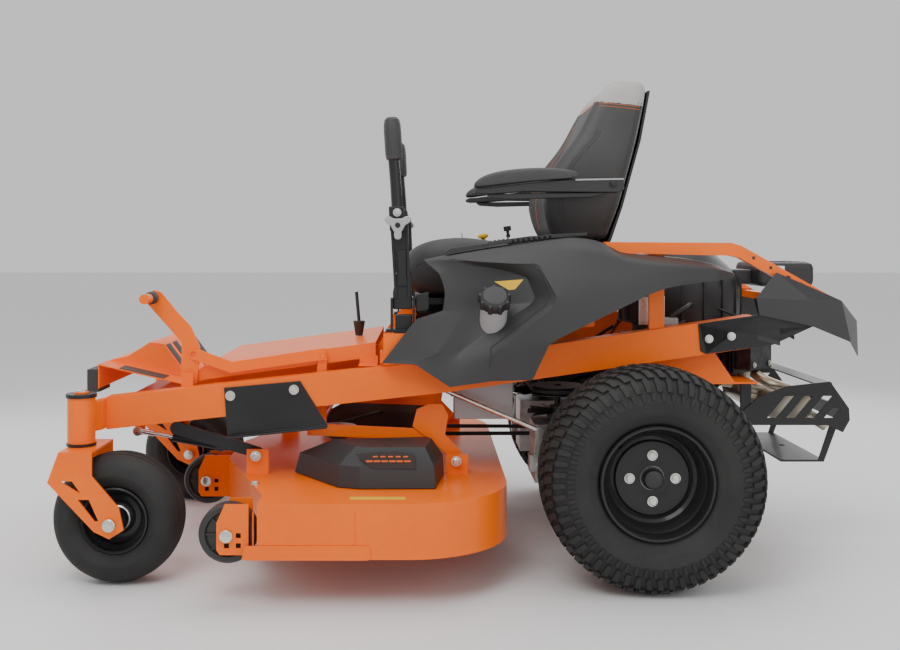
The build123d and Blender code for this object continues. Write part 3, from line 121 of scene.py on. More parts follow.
# %% [markdown]
# ## Shader maths as Python
# `Value` wraps a socket, so that `0.3 + mask * 0.4` adds the Math nodes it needs. `Finish` starts a
# material, keeps its constant numbers on the shader itself and makes any other node with one method.
# %% Values and finishes


class Value:
    """A socket that arithmetic works on."""

    def __init__(self, finish, socket):
        self.finish = finish
        self.socket = socket

    def maths(self, operation, first, second=0.0, clamp=False):
        settings = {"operation": operation, "use_clamp": clamp}
        return self.finish.node("ShaderNodeMath", settings, i0=first, i1=second).out()

    def __add__(self, other):
        return self.maths("ADD", self, other)

    def __sub__(self, other):
        return self.maths("SUBTRACT", self, other)

    def __mul__(self, other):
        return self.maths("MULTIPLY", self, other)

    def sharpened(self, low, high):
        """0 below low, 1 above high."""
        return self.maths("MULTIPLY", self - low, 1 / (high - low), clamp=True)

    __radd__ = __add__
    __rmul__ = __mul__


class Made:
    """A node that has just been made."""

    def __init__(self, finish, node):
        self.finish = finish
        self.node = node

    def out(self, which=0):
        return Value(self.finish, self.node.outputs[which])


class Finish:
    """A material built from a Principled shader."""

    def __init__(self, name, colour, roughness, **constants):
        self.material = bpy.data.materials.new(name)
        self.material.use_nodes = True
        self.tree = self.material.node_tree
        self.shader = self.tree.nodes["Principled BSDF"]
        self.colour = colour
        self.shader.inputs["Base Color"].default_value = (*colour, 1)
        self.shader.inputs["Roughness"].default_value = roughness
        for key, value in constants.items():
            self.shader.inputs[key.replace("_", " ")].default_value = value
        self.object = self.node("ShaderNodeTexCoord").out("Object")

    def node(self, kind, settings=None, **values):
        made = self.tree.nodes.new(kind)
        for key, value in (settings or {}).items():
            if key == "stops":
                ramp = made.color_ramp.elements
                while len(ramp) < len(value):
                    ramp.new(0.5)
                for stop, (place, colour) in zip(ramp, value):
                    stop.position = place
                    stop.color = (*colour, 1) if len(colour) == 3 else colour
            else:
                setattr(made, key, value)
        for key, value in values.items():
            numbered = key[0] == "i" and key[1:].isdigit()
            socket = made.inputs[int(key[1:])] if numbered else made.inputs[key.replace("_", " ")]
            if isinstance(value, Value):
                self.tree.links.new(value.socket, socket)
            else:
                socket.default_value = value
        return Made(self, made)

    def noise(self, scale, detail=3.0):
        settings = {"Vector": self.object, "Scale": scale, "Detail": detail, "Roughness": 0.55}
        return self.node("ShaderNodeTexNoise", None, **settings).out("Fac")

    def cells(self, scale):
        return self.node("ShaderNodeTexVoronoi", {"feature": "F1"}, Vector=self.object,
                         Scale=scale).out("Distance")

    def mixed(self, factor, first, second):
        """A colour between two colours."""
        settings = {"data_type": "RGBA"}
        wide = [c if isinstance(c, Value) else (*c, 1) for c in (first, second)]
        return self.node("ShaderNodeMix", settings, i0=factor, i6=wide[0], i7=wide[1]).out(2)

    def set(self, socket, value):
        self.tree.links.new(value.socket, self.shader.inputs[socket])
        return self

    def bump(self, height, distance, strength=1.0):
        made = self.node("ShaderNodeBump", None, Height=height, Distance=distance, Strength=strength)
        return self.set("Normal", made.out("Normal"))


FINISHES = {}


def keep(slot_name, finish):
    FINISHES[slot_name] = finish.material
    return finish


print("shader helpers ready")

# %% [markdown]
# ## Painted metal
# Powder coat is a thick baked film. It has a clear gloss, a faint orange-peel ripple a few
# millimetres across, and dulls slightly where dust settles. The ripple is a small bump, because it
# is far too shallow to model, and the gloss is a coat over the coloured layer.
# %% Powder coats


def powder_coat(slot_name, colour, deep, roughness, coat):
    paint = Finish(slot_name, colour, roughness, Coat_Weight=coat, Coat_Roughness=0.12,
                   Specular_IOR_Level=0.28)
    broad = paint.noise(5.0)
    fine = paint.noise(60.0, 4.0)
    shade = (broad * 0.7 + fine * 0.3).sharpened(0.3, 0.7)
    paint.set("Base Color", paint.mixed(shade, deep, colour))
    paint.set("Roughness", roughness - 0.04 + broad * 0.05 + fine * 0.05)
    paint.bump(paint.noise(420.0, 2.0), 0.00022, 0.35)
    return keep(slot_name, paint)


powder_coat("orange_paint", (1.0, 0.168, 0.0), (0.93, 0.142, 0.0), 0.34, 0.10)
powder_coat("black_paint", (0.017, 0.017, 0.018), (0.012, 0.012, 0.013), 0.42, 0.25)
print("painted", list(FINISHES))

# %% [markdown]
# ## Moulded plastic
# The fenders and guards are moulded with a fine pebble grain that scatters light, so broad panels
# look soft and dark. Small cells give the pebbles, and a slow noise keeps large panels from looking
# like one flat colour.
# %% Plastics


def moulding(slot_name, colour, roughness, grain=900.0, depth=0.00018, light=1.25):
    plastic = Finish(slot_name, colour, roughness)
    broad = plastic.noise(3.5, 4.0)
    speck = plastic.noise(260.0, 2.0)
    shade = (broad * 0.6 + speck * 0.4).sharpened(0.32, 0.68)
    plastic.set("Base Color", plastic.mixed(shade, colour, tuple(c * light for c in colour)))
    plastic.set("Roughness", roughness - 0.06 + speck * 0.12)
    plastic.bump(plastic.cells(grain) + plastic.noise(grain * 0.6) * 0.5, depth, 0.55)
    return keep(slot_name, plastic)


moulding("dark_plastic", (0.022, 0.022, 0.023), 0.50)
moulding("guard_plastic", (0.027, 0.027, 0.029), 0.42)
moulding("black_plastic", (0.018, 0.018, 0.019), 0.45)
moulding("grey_plastic", (0.36, 0.37, 0.38), 0.45, light=1.08)
moulding("yellow_plastic", (0.85, 0.50, 0.02), 0.35, light=1.05)
moulding("engine_plastic", (0.020, 0.020, 0.022), 0.48)
moulding("orange_plastic", (0.80, 0.13, 0.006), 0.4, light=1.1)
print("plastics", len(FINISHES))

# %% [markdown]
# ## Rubber, vinyl and bare metals
# Rubber is nearly black with a dry bloom. Seat vinyl has a leather-like grain of rounded cells.
# Castings are rough and mottled, plated steel is bright, and the silencer has gone straw and blue
# where it runs hot.
# %% Rubber and vinyl


def rubber(slot_name, colour, bloom, roughness=0.72):
    made = Finish(slot_name, colour, roughness)
    broad = made.noise(9.0, 5.0).sharpened(0.35, 0.75)
    made.set("Base Color", made.mixed(broad, colour, bloom))
    made.set("Roughness", roughness - 0.1 + made.noise(150.0) * 0.2)
    made.bump(made.noise(700.0, 4.0), 0.0003, 0.5)
    return keep(slot_name, made)


rubber("tyre_rubber", (0.012, 0.012, 0.012), (0.024, 0.023, 0.022))
rubber("grip_rubber", (0.030, 0.030, 0.031), (0.045, 0.045, 0.045), 0.6)
rubber("belt_rubber", (0.014, 0.014, 0.014), (0.028, 0.028, 0.028))


def vinyl(slot_name, colour, light):
    made = Finish(slot_name, colour, 0.46)
    grain = made.cells(620.0) + made.noise(1400.0, 2.0) * 0.35
    broad = made.noise(6.0, 3.0).sharpened(0.3, 0.75)
    made.set("Base Color", made.mixed(broad, colour, light))
    made.set("Roughness", 0.40 + grain * 0.16)
    made.bump(grain, 0.00035, 0.6)
    return keep(slot_name, made)


vinyl("seat_vinyl", (0.034, 0.033, 0.033), (0.046, 0.045, 0.044))
vinyl("headrest_vinyl", (0.36, 0.35, 0.33), (0.43, 0.42, 0.40))
thread = keep("orange_thread", Finish("orange_thread", (0.85, 0.16, 0.02), 0.6))
thread.set("Base Color", thread.mixed(thread.noise(900.0), (0.7, 0.12, 0.01), (0.95, 0.22, 0.03)))

# %% [markdown]
# ### Bare metals
# One function gives zinc plate, machined steel, chrome and castings: they differ in colour, in how
# rough they are and in how fine their scratches run. The silencer's steel has its own heat colours.
# %% Metals


def metal(slot_name, colour, shade, roughness, scratch, **constants):
    made = Finish(slot_name, colour, roughness, Metallic=1.0, **constants)
    mottle = made.noise(45.0, 5.0).sharpened(0.35, 0.7)
    made.set("Base Color", made.mixed(mottle, shade, colour))
    made.set("Roughness", roughness - 0.08 + made.noise(scratch, 5.0) * 0.22)
    made.bump(made.noise(scratch * 2, 4.0), 0.0002, 0.4)
    return keep(slot_name, made)


metal("zinc_steel", (0.78, 0.77, 0.74), (0.60, 0.59, 0.55), 0.28, 160.0)
metal("machined_steel", (0.52, 0.52, 0.52), (0.38, 0.38, 0.38), 0.34, 220.0)
metal("chrome_steel", (0.86, 0.86, 0.87), (0.80, 0.80, 0.81), 0.10, 90.0)
metal("cast_aluminium", (0.62, 0.62, 0.62), (0.44, 0.44, 0.44), 0.48, 320.0)
metal("engine_casting", (0.10, 0.10, 0.105), (0.05, 0.05, 0.052), 0.5, 260.0)
hot = Finish("bare_steel", (0.5, 0.48, 0.46), 0.36, Metallic=1.0)
heat = hot.noise(7.0, 3.0)
tint = hot.node("ShaderNodeValToRGB", {"stops": [(0.3, (0.55, 0.54, 0.52)), (0.62, (0.50, 0.42, 0.30)),
                                                 (0.8, (0.3, 0.3, 0.38))]}, Fac=heat)
hot.set("Base Color", tint.out("Color")).set("Roughness", 0.28 + hot.noise(120.0) * 0.2)
hot.bump(hot.noise(300.0), 0.0002, 0.4)
keep("bare_steel", hot)
print("finishes", len(FINISHES))

# %% [markdown]
# ## Mesh helpers
# A few short functions make most shapes: a solid turned about an axle, a plate cut from a side
# outline, a tube along a line, and a closed shell from a cage of corner points. Each puts its place
# in its mesh, so the object itself stays at the origin.
# %% Mesh helpers


def link(name, mesh, slot_name, sharp=35):
    """A new object with one finish, smooth except across sharp edges."""
    obj = bpy.data.objects.new(name, mesh)
    bpy.context.scene.collection.objects.link(obj)
    mesh.materials.clear()
    mesh.materials.append(FINISHES[slot_name])
    mesh.polygons.foreach_set("use_smooth", [True] * len(mesh.polygons))
    mesh.set_sharp_from_angle(angle=math.radians(sharp))
    obj["finish"] = slot_name
    return obj


RECORD_SLOTS = {material["slot"] for material in frame["record"]["materials"]}


def settle(obj, body, slot_name=None, *nodes):
    """Ride on a body, and stand for CAD nodes."""
    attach(obj, body)
    wanted = slot_name or obj["finish"]
    wanted if wanted in RECORD_SLOTS else slot_of_node[nodes[0]] if nodes else "dark_plastic"
    if nodes:
        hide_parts(*nodes)
    return obj


def outward(bm, merge=1e-5):
    bmesh.ops.remove_doubles(bm, verts=bm.verts, dist=merge)
    bmesh.ops.recalc_face_normals(bm, faces=bm.faces)


def from_bmesh(name, bm, slot_name, sharp=35):
    outward(bm)
    mesh = bpy.data.meshes.new(name)
    bm.to_mesh(mesh)
    bm.free()
    return link(name, mesh, slot_name, sharp)


def cage(name, points, faces, slot_name, sharp=35):
    bm = bmesh.new()
    corners = [bm.verts.new(point) for point in points]
    for face in faces:
        bm.faces.new([corners[i] for i in face])
    return from_bmesh(name, bm, slot_name, sharp)


def turned(name, profile, centre, slot_name, axis="Y", steps=96, sharp=30):
    """(radius, along) pairs in millimetres turned about an axis through a machine point."""
    points = []
    for radius, along in profile:
        for step in range(steps):
            angle = 2 * math.pi * step / steps
            a, b = radius * math.cos(angle), radius * math.sin(angle)
            local = (a, along, b) if axis == "Y" else (a, b, along)
            points.append(at(centre[0] + local[0], centre[1] + local[1], centre[2] + local[2]))
    rings = len(profile)
    faces = []
    for ring in range(rings):
        after = (ring + 1) % rings
        for step in range(steps):
            turn = (step + 1) % steps
            faces.append((ring * steps + step, after * steps + step, after * steps + turn,
                          ring * steps + turn))
    return cage(name, points, faces, slot_name, sharp)


def plate(name, outline, y0, y1, slot_name, bevel=1.0):
    """A plate cut from an (x, z) outline, between two y places, its edges slightly rounded."""
    points = [at(x, y, z) for y in (y0, y1) for x, z in outline]
    n = len(outline)
    faces = [tuple(range(n)), tuple(range(n, 2 * n))]
    faces += [(i, (i + 1) % n, n + (i + 1) % n, n + i) for i in range(n)]
    obj = cage(name, points, faces, slot_name)
    return rounded(obj, bevel)


def block(name, low, high, slot_name, bevel=2.0):
    """A box between two machine corners with rounded edges."""
    outline = [(low[0], low[2]), (high[0], low[2]), (high[0], high[2]), (low[0], high[2])]
    return plate(name, outline, low[1], high[1], slot_name, bevel)


def rounded(obj, width, segments=2, angle=30):
    """Small bevels on the sharp edges, because no real edge is perfectly sharp."""
    if not width:
        return obj
    bevel = obj.modifiers.new("rounding", "BEVEL")
    bevel.width = width / 1000
    bevel.segments = segments
    bevel.limit_method = "ANGLE"
    bevel.angle_limit = math.radians(angle)
    bevel.harden_normals = True
    return obj


def tube(name, points, radius, slot_name, resolution=3, smooth=True, order=3):
    """A round bar or hose through machine points."""
    curve = bpy.data.curves.new(name, "CURVE")
    curve.dimensions = "3D"
    curve.bevel_depth = radius / 1000
    curve.bevel_resolution = resolution
    curve.use_fill_caps = True
    spline = curve.splines.new("NURBS" if smooth else "POLY")
    spline.points.add(len(points) - 1)
    for point, place in zip(spline.points, points):
        point.co = (*at(*place), 1)
    if smooth:
        spline.order_u = order
        spline.use_endpoint_u = True
        spline.resolution_u = 8
    holder = bpy.data.objects.new(name, curve)
    bpy.context.scene.collection.objects.link(holder)
    return plain(holder, name, slot_name)


def plain(holder, name, slot_name, sharp=35):
    """The evaluated shape of an object as a plain mesh, which takes its place."""
    bpy.context.view_layer.update()
    graph = bpy.context.evaluated_depsgraph_get()
    mesh = bpy.data.meshes.new_from_object(holder.evaluated_get(graph), depsgraph=graph)
    bpy.data.objects.remove(holder)
    bm = bmesh.new()
    bm.from_mesh(mesh)
    outward(bm)
    bm.to_mesh(mesh)
    bm.free()
    return link(name, mesh, slot_name, sharp)


def joined(name, pieces, slot_name=None):
    """Several pieces as one mesh, each keeping its finish."""
    bpy.context.view_layer.update()
    graph = bpy.context.evaluated_depsgraph_get()
    bm = bmesh.new()
    materials = []
    for piece in pieces:
        mesh = bpy.data.meshes.new_from_object(piece.evaluated_get(graph), depsgraph=graph)
        material = piece.data.materials[0]
        if material not in materials:
            materials.append(material)
        mesh.polygons.foreach_set("material_index", [materials.index(material)] * len(mesh.polygons))
        bm.from_mesh(mesh)
        bpy.data.meshes.remove(mesh)
    mesh = bpy.data.meshes.new(name)
    bm.to_mesh(mesh)
    bm.free()
    finish = pieces[0]["finish"]
    for piece in pieces:
        bpy.data.objects.remove(piece)
    obj = bpy.data.objects.new(name, mesh)
    bpy.context.scene.collection.objects.link(obj)
    for material in materials:
        mesh.materials.append(material)
    obj["finish"] = slot_name or finish
    return obj


def mirrored(obj, name):
    """The same piece on the other side of the machine."""
    mesh = obj.data.copy()
    middle = AXLE_MIDDLE.y
    for vertex in mesh.vertices:
        vertex.co.y = 2 * middle - vertex.co.y
    mesh.flip_normals()
    twin = bpy.data.objects.new(name, mesh)
    bpy.context.scene.collection.objects.link(twin)
    twin["finish"] = obj["finish"]
    return twin


print("mesh helpers ready")

# %% [markdown]
# ## Geometry Nodes for what repeats
# Lugs on a tyre, fins, slats and stitches are one small shape many times over. Two trees cover them:
# `ring` turns a shape about an axis, and `row` shifts it along a step. Both end in Realize Instances
# and Set Material, and the result is kept as a plain mesh.
# %% Repeating trees


def repeat_tree(kind):
    tree = bpy.data.node_groups.new(kind, "GeometryNodeTree")
    face = tree.interface
    face.new_socket("Shape", in_out="INPUT", socket_type="NodeSocketGeometry")
    face.new_socket("Count", in_out="INPUT", socket_type="NodeSocketInt")
    face.new_socket("Step", in_out="INPUT", socket_type="NodeSocketVector")
    face.new_socket("Finish", in_out="INPUT", socket_type="NodeSocketMaterial")
    face.new_socket("Result", in_out="OUTPUT", socket_type="NodeSocketGeometry")
    nodes, links = tree.nodes, tree.links
    start, end = nodes.new("NodeGroupInput"), nodes.new("NodeGroupOutput")
    points = nodes.new("GeometryNodePoints")
    index = nodes.new("GeometryNodeInputIndex")
    scaled = nodes.new("ShaderNodeVectorMath")
    scaled.operation = "SCALE"
    links.new(start.outputs["Step"], scaled.inputs[0])
    links.new(index.outputs[0], scaled.inputs["Scale"])
    links.new(start.outputs["Count"], points.inputs["Count"])
    copies = nodes.new("GeometryNodeInstanceOnPoints")
    links.new(points.outputs[0], copies.inputs["Points"])
    links.new(start.outputs["Shape"], copies.inputs["Instance"])
    if kind == "ring":
        turn = nodes.new("FunctionNodeEulerToRotation")
        links.new(scaled.outputs[0], turn.inputs[0])
        links.new(turn.outputs[0], copies.inputs["Rotation"])
    else:
        links.new(scaled.outputs[0], points.inputs["Position"])
    real = nodes.new("GeometryNodeRealizeInstances")
    paint = nodes.new("GeometryNodeSetMaterial")
    links.new(copies.outputs[0], real.inputs[0])
    links.new(real.outputs[0], paint.inputs["Geometry"])
    links.new(start.outputs["Finish"], paint.inputs["Material"])
    links.new(paint.outputs[0], end.inputs[0])
    return tree


TREES = {kind: repeat_tree(kind) for kind in ("ring", "row")}


def repeated(name, shape, kind, count, step, place=(0, 0, 0), sharp=35):
    """shape is built about the frame's origin; the copies are then moved to a machine place."""
    tree = TREES[kind]
    ids = {item.name: item.identifier for item in tree.interface.items_tree}
    finish = shape["finish"]
    modifier = shape.modifiers.new("repeat", "NODES")
    modifier.node_group = tree
    modifier[ids["Count"]] = count
    modifier[ids["Step"]] = step
    modifier[ids["Finish"]] = FINISHES[finish]
    made = plain(shape, name, finish, sharp)
    made.data.transform(Matrix.Translation(at(*place)))
    return made


def about_origin(name, points, faces, slot_name):
    """A cage in millimetres about the frame's origin, for a shape that will be repeated."""
    return cage(name, [Vector(point) / 1000 for point in points], faces, slot_name)


BOX_FACES = [(0, 1, 2, 3), (7, 6, 5, 4), (0, 4, 5, 1), (1, 5, 6, 2), (2, 6, 7, 3), (3, 7, 4, 0)]


def small_box(name, low, high, slot_name):
    x, y, z = zip(low, high)
    points = [(x[0], y[0], z[0]), (x[1], y[0], z[0]), (x[1], y[1], z[0]), (x[0], y[1], z[0])]
    points += [(px, py, z[1]) for px, py, pz in points]
    return about_origin(name, points, BOX_FACES, slot_name)


print("trees", sorted(TREES))

# %% [markdown]
# ## Bolts
# Bolt heads are hexagons with a chamfered top on a round washer flange. One function makes a head on
# any face, and lists of places keep each group of bolts together.
# %% Bolts


def bolt(name, place, direction, across=16, height=7, washer=12, slot_name="zinc_steel"):
    """A flange, a hexagon and its chamfer, stacked on a face that looks along a direction."""
    corner = across / 1.732
    bm = bmesh.new()
    for radius_a, radius_b, low, high, steps in (
        (washer, washer, 0, 2, 24), (corner, corner, 2, height, 6),
        (corner, across / 2.15, height, height + 1.2, 6),
    ):
        made = bmesh.ops.create_cone(bm, cap_ends=True, segments=steps, radius1=radius_a / 1000,
                                     radius2=radius_b / 1000, depth=(high - low) / 1000)
        bmesh.ops.translate(bm, verts=made["verts"], vec=(0, 0, (low + high) / 2000))
    turn = Vector(direction).to_track_quat("Z", "Y").to_matrix().to_4x4()
    bmesh.ops.transform(bm, matrix=Matrix.Translation(at(*place)) @ turn, verts=bm.verts)
    mesh = bpy.data.meshes.new(name)
    bm.to_mesh(mesh)
    bm.free()
    return link(name, mesh, slot_name)


def bolts(name, places, direction, body, **kind):
    return settle(joined(name, [bolt(name, place, direction, **kind) for place in places]), body)


print("bolt helper ready")

# %% [markdown]
# ## Pressed and welded parts
# The frame, forks, brackets and links are cut plate and formed sheet. Their CAD solids already have
# the right outlines, so each is copied, cleaned of the small triangles of its CAD mesh, and given a
# small rounding on every sharp edge. That rounding is what catches the light on real sheet metal.
# %% Rounded metal


def soften(node, width=1.2, segments=2):
    """A cleaned copy of a CAD node with rounded edges, which stands for it."""
    source = frame["nodes"][node]
    bm = bmesh.new()
    bm.from_mesh(source.data)
    bmesh.ops.remove_doubles(bm, verts=bm.verts, dist=2e-5)
    bmesh.ops.dissolve_limit(bm, angle_limit=math.radians(1.5), verts=bm.verts, edges=bm.edges)
    mesh = bpy.data.meshes.new(f"{node}_finished")
    bmesh.ops.recalc_face_normals(bm, faces=bm.faces)
    bm.to_mesh(mesh)
    bm.free()
    obj = link(mesh.name, mesh, slot_of_node[node], 30)
    rounded(obj, width, segments)
    return settle(obj, body_of_node[node], None, node)


SOFT_WIDTHS = {
    "frame": 2.0, "floor_pan": 1.2, "side_plates": 1.2, "hood_frame": 2.0, "rear_cage": 1.2,
    "deck_shell": 1.6, "lift_arms": 1.2, "front_lift_arms": 1.2, "lift_link": 1.0, "foot_pedal": 1.5,
    "seat_platform": 1.0, "seat_pan": 1.2, "engine_block": 2.0, "fuel_tanks": 3.0, "transaxles": 2.5,
    "chute": 1.0, "caster_fork_left": 2.0, "caster_fork_right": 2.0, "lever_base_left": 1.2,
    "lever_base_right": 1.2, "muffler": 1.5, "fasteners": 0.6, "ignition_key": 0.6, "height_pin": 0.8,
    "strut_cylinder": 0.6,
}
for node, width in SOFT_WIDTHS.items():
    soften(node, width)
for node, obj in frame["nodes"].items():
    obj.data.materials.clear()
    obj.data.materials.append(FINISHES[slot_of_node[node]])
print("rounded", len(SOFT_WIDTHS), "pieces")

# %% [markdown]
# ## Floor
# A large, slightly rough plane takes the machine's shadow. It is staging.
# %% Floor
bpy.ops.mesh.primitive_plane_add(size=60, location=at(500, 0, 0))
floor = bpy.context.object
floor.name = "studio_floor"
floor_finish = Finish("studio_floor", (0.80, 0.80, 0.80), 0.6)
floor_finish.set("Roughness", 0.55 + floor_finish.noise(3.0) * 0.1)
floor.data.materials.append(floor_finish.material)

# %% [markdown]
# ## Drive wheels
# The rear tyre is a 22 inch turf tyre: a wide, soft carcass under a closed pattern of small lugs,
# which grips grass without tearing it. The carcass is turned. The tread is one cluster of lugs,
# wrapped round the carcass profile, that the `ring` tree turns about the axle.
# %% Drive tyres
DRIVE_R = (left_high.z - left_low.z) * 500
DRIVE_Y = 506
DRIVE_CENTRE = (0, DRIVE_Y, DRIVE_R)
LUG_HEIGHT = 7.5
CROWN = [(0, 271.5), (30, 271), (58, 269.5), (80, 265), (96, 257), (107, 245), (112, 230), (115, 212)]


def on_crown(along, lift=0.0):
    """(radius, y) on the tyre's outside, at a distance along the profile from the middle."""
    side = 1 if along >= 0 else -1
    left = abs(along)
    for (y0, r0), (y1, r1) in zip(CROWN, CROWN[1:]):
        span = math.hypot(y1 - y0, r1 - r0)
        if left <= span or (y1, r1) == CROWN[-1]:
            share = left / span
            nr, ny = (y1 - y0) / span, (r0 - r1) / span
            return r0 + (r1 - r0) * share + nr * lift, side * (y0 + (y1 - y0) * share + ny * lift)
        left -= span


def lug(corners, height, taper=0.8):
    """A raised block from (along, angle in degrees, half width in degrees) sections."""
    points, faces = [], []
    for along, angle, half in corners:
        for lift, share in ((-3, 1.0), (height, taper)):
            radius, y = on_crown(along, lift)
            for sign in (-1, 1):
                turn = math.radians(angle + sign * half * share)
                points.append((radius * math.cos(turn), y, radius * math.sin(turn)))
    for i in range(len(corners) - 1):
        a, b = 4 * i, 4 * i + 4
        faces += [(a + 2, a + 3, b + 3, b + 2), (a, a + 2, b + 2, b), (a + 1, b + 1, b + 3, a + 3)]
    last = 4 * (len(corners) - 1)
    faces += [(0, 1, 3, 2), (last, last + 2, last + 3, last + 1)]
    return points, faces


def cluster(lugs):
    """Several lugs as one mesh."""
    points, faces = [], []
    for made_points, made_faces in lugs:
        start = len(points)
        points += made_points
        faces += [tuple(start + i for i in face) for face in made_faces]
    return about_origin("lugs", points, faces, "tyre_rubber")


TREAD_COUNT = 56
tread = []
for side in (-1, 1):
    tread.append(lug([(side * 66, 0.3, 2.1), (side * 86, 1.6, 2.2), (side * 100, 2.4, 2.0)], LUG_HEIGHT))
    tread.append(lug([(side * 106, 5.2, 1.9), (side * 122, 6.0, 1.9), (side * 134, 6.2, 1.6)],
                     LUG_HEIGHT - 1))
    tread.append(lug([(side * 138, 2.4, 1.5), (side * 150, 2.6, 1.3), (side * 158, 2.6, 0.9)],
                     LUG_HEIGHT - 3.5))
    tread.append(lug([(side * 34, 3.6, 2.0), (side * 48, 4.8, 2.1), (side * 60, 5.4, 1.9)], LUG_HEIGHT))
    tread.append(lug([(side * 6, 0.4, 2.0), (side * 18, 1.4, 2.1), (side * 30, 2.0, 2.0)], LUG_HEIGHT))
tread_ring = repeated("drive_tread", cluster(tread), "ring", TREAD_COUNT, (0, 2 * math.pi / TREAD_COUNT, 0),
                      DRIVE_CENTRE)
outside = [(r, y) for y, r in CROWN]
sidewall = [(206, 117), (203, 118.5), (199, 118.5), (196, 117), (180, 116), (166, 110), (156, 101), (151, 99),
            (146, 95), (142, 90), (137, 84), (132, 80)]
half = outside + sidewall
carcass = turned("drive_carcass", half[::-1] + [(r, -y) for r, y in half[1:]], DRIVE_CENTRE, "tyre_rubber",
                 steps=128)
tyre = joined("drive_tyre_left", [carcass, tread_ring])
print("tread", TREAD_COUNT, "clusters of", len(tread), "lugs")

# %% [markdown]
# ## Rims
# The rim is pressed from two dishes and powder-coated black. Its steps stiffen it and seat the
# tyre's beads. Four bright flange bolts hold it to the axle hub.
# %% Drive rims
RIM_FACE = [(133, 62), (137, 88), (141, 93), (142, 100), (139, 104), (134, 103), (131, 97), (130, 84),
            (128, 66), (121, 58), (117, 40), (112, 27), (104, 21), (96, 23), (91, 29), (60, 31), (48, 28),
            (30, 28)]
RIM_BACK = [(30, 23), (48, 23), (60, 26), (88, 24), (95, 18), (106, 16), (116, 22), (120, 20), (119, -60),
            (124, -70), (128, -93), (136, -99), (141, -94), (134, -84), (126, -62), (124, 20)]
rim = turned("drive_rim", RIM_FACE + RIM_BACK, DRIVE_CENTRE, "black_paint", steps=96)
HUB_CAP = [(0, 57), (16, 56), (22, 53), (25, 47), (25, 31), (29, 29), (29, 26), (0, 26)]
cap = turned("drive_cap", HUB_CAP, DRIVE_CENTRE, "black_plastic", steps=48)
hub_back = turned("drive_hub", [(74, 27), (78, 24), (78, 16), (32, 16), (32, -22), (16.5, -22), (16.5, -120),
                                (0, -120), (0, 27)], DRIVE_CENTRE, "machined_steel", steps=48)
CIRCLE_R = 57.15
nuts = [bolt("nut", (CIRCLE_R * math.sin(a), DRIVE_Y + 31, DRIVE_R + CIRCLE_R * math.cos(a)), (0, 1, 0),
             across=17, height=12, washer=13, slot_name="zinc_steel")
             for a in (0, math.pi / 2, math.pi, -math.pi / 2)]
valve = tube("valve", [(72, DRIVE_Y + 20, DRIVE_R + 72), (76, DRIVE_Y + 40, DRIVE_R + 76),
                       (77, DRIVE_Y + 52, DRIVE_R + 77)], 4, "tyre_rubber")
rim = joined("drive_rim_left", [rim, cap, hub_back, *nuts, valve], "black_paint")
for name, sign in SIDES.items():
    if sign < 0:
        tyre, rim = mirrored(tyre, "drive_tyre_right"), mirrored(rim, "drive_rim_right")
    settle(tyre, f"drive_wheel_{name}", "tyre_rubber", f"drive_wheel_{name}")
    settle(rim, f"drive_wheel_{name}", "black_paint")
print("drive wheels done")

# %% [markdown]
# ## Caster wheels
# The front tyres are smooth ribbed tyres: plain circumferential ribs turn easily on the spot and
# mark the lawn least. They are turned whole, with their rims and hubs.
# %% Caster wheels
CASTER_X, CASTER_Y, CASTER_R = 1349, 450, 165.1
RIBS = [(78, 40), (82, 47), (88, 55), (92, 57), (97, 62), (112, 68.5), (116, 69.5), (119, 68.5), (135, 66.5),
        (148, 57), (156, 46), (160, 36), (162.3, 29), (158, 27), (158, 23), (163.6, 21), (164.6, 8),
        (160.4, 6.4), (160.4, 2), (165, 0.6)]
CASTER_RIM = [(79, 50), (83, 53), (84, 57), (80, 59), (77, 56), (75, 44), (66, 34), (64, 18), (56, 12),
              (44, 14), (38, 20), (31, 24), (31, 66), (17, 66), (17, 0)]
for name, sign in SIDES.items():
    centre = (CASTER_X, sign * CASTER_Y, CASTER_R)
    loop = RIBS + [(r, -y) for r, y in reversed(RIBS)]
    tyre = turned("caster_tyre_" + name, loop, centre, "tyre_rubber", steps=112, sharp=50)
    settle(tyre, f"caster_wheel_{name}", "tyre_rubber", f"caster_wheel_{name}")
    loop = CASTER_RIM + [(r, -y) for r, y in reversed(CASTER_RIM[:-1])]
    rim = turned("caster_rim_part", loop, centre, "black_paint", steps=72)
    boss = turned("caster_boss", [(34, 20), (34, 30), (30, 33), (20, 33), (20, 20)], centre, "zinc_steel",
                  steps=32)
    grease = tube("grease_nipple", [(CASTER_X + 24, centre[1] + 40, CASTER_R + 20),
                                    (CASTER_X + 34, centre[1] + 46, CASTER_R + 30)], 3, "zinc_steel")
    settle(joined("caster_rim_" + name, [rim, boss, grease], "black_paint"), f"caster_wheel_{name}")
print("caster wheels done")

# %% [markdown]
# ## Seat
# A high-back seat is foam in a sewn vinyl cover. The cover is pulled tight at its seams and domes
# between them. Here each cushion starts a little small, is filled with air by the cloth solver while
# its seam lines are held, and so gets real soft shapes. Stitches are then laid along the seams.
# %% Cushion shapes


def rings(name, loops, slot_name):
    """A closed body through loops of machine points that have the same number of corners."""
    n = len(loops[0])
    points = [at(*point) for loop in loops for point in loop]
    faces = []
    for k in range(len(loops) - 1):
        for i in range(n):
            j = (i + 1) % n
            faces.append((k * n + i, k * n + j, (k + 1) * n + j, (k + 1) * n + i))
    faces += [tuple(range(n)), tuple(range((len(loops) - 1) * n, len(loops) * n))]
    return cage(name, points, faces, slot_name, 60)


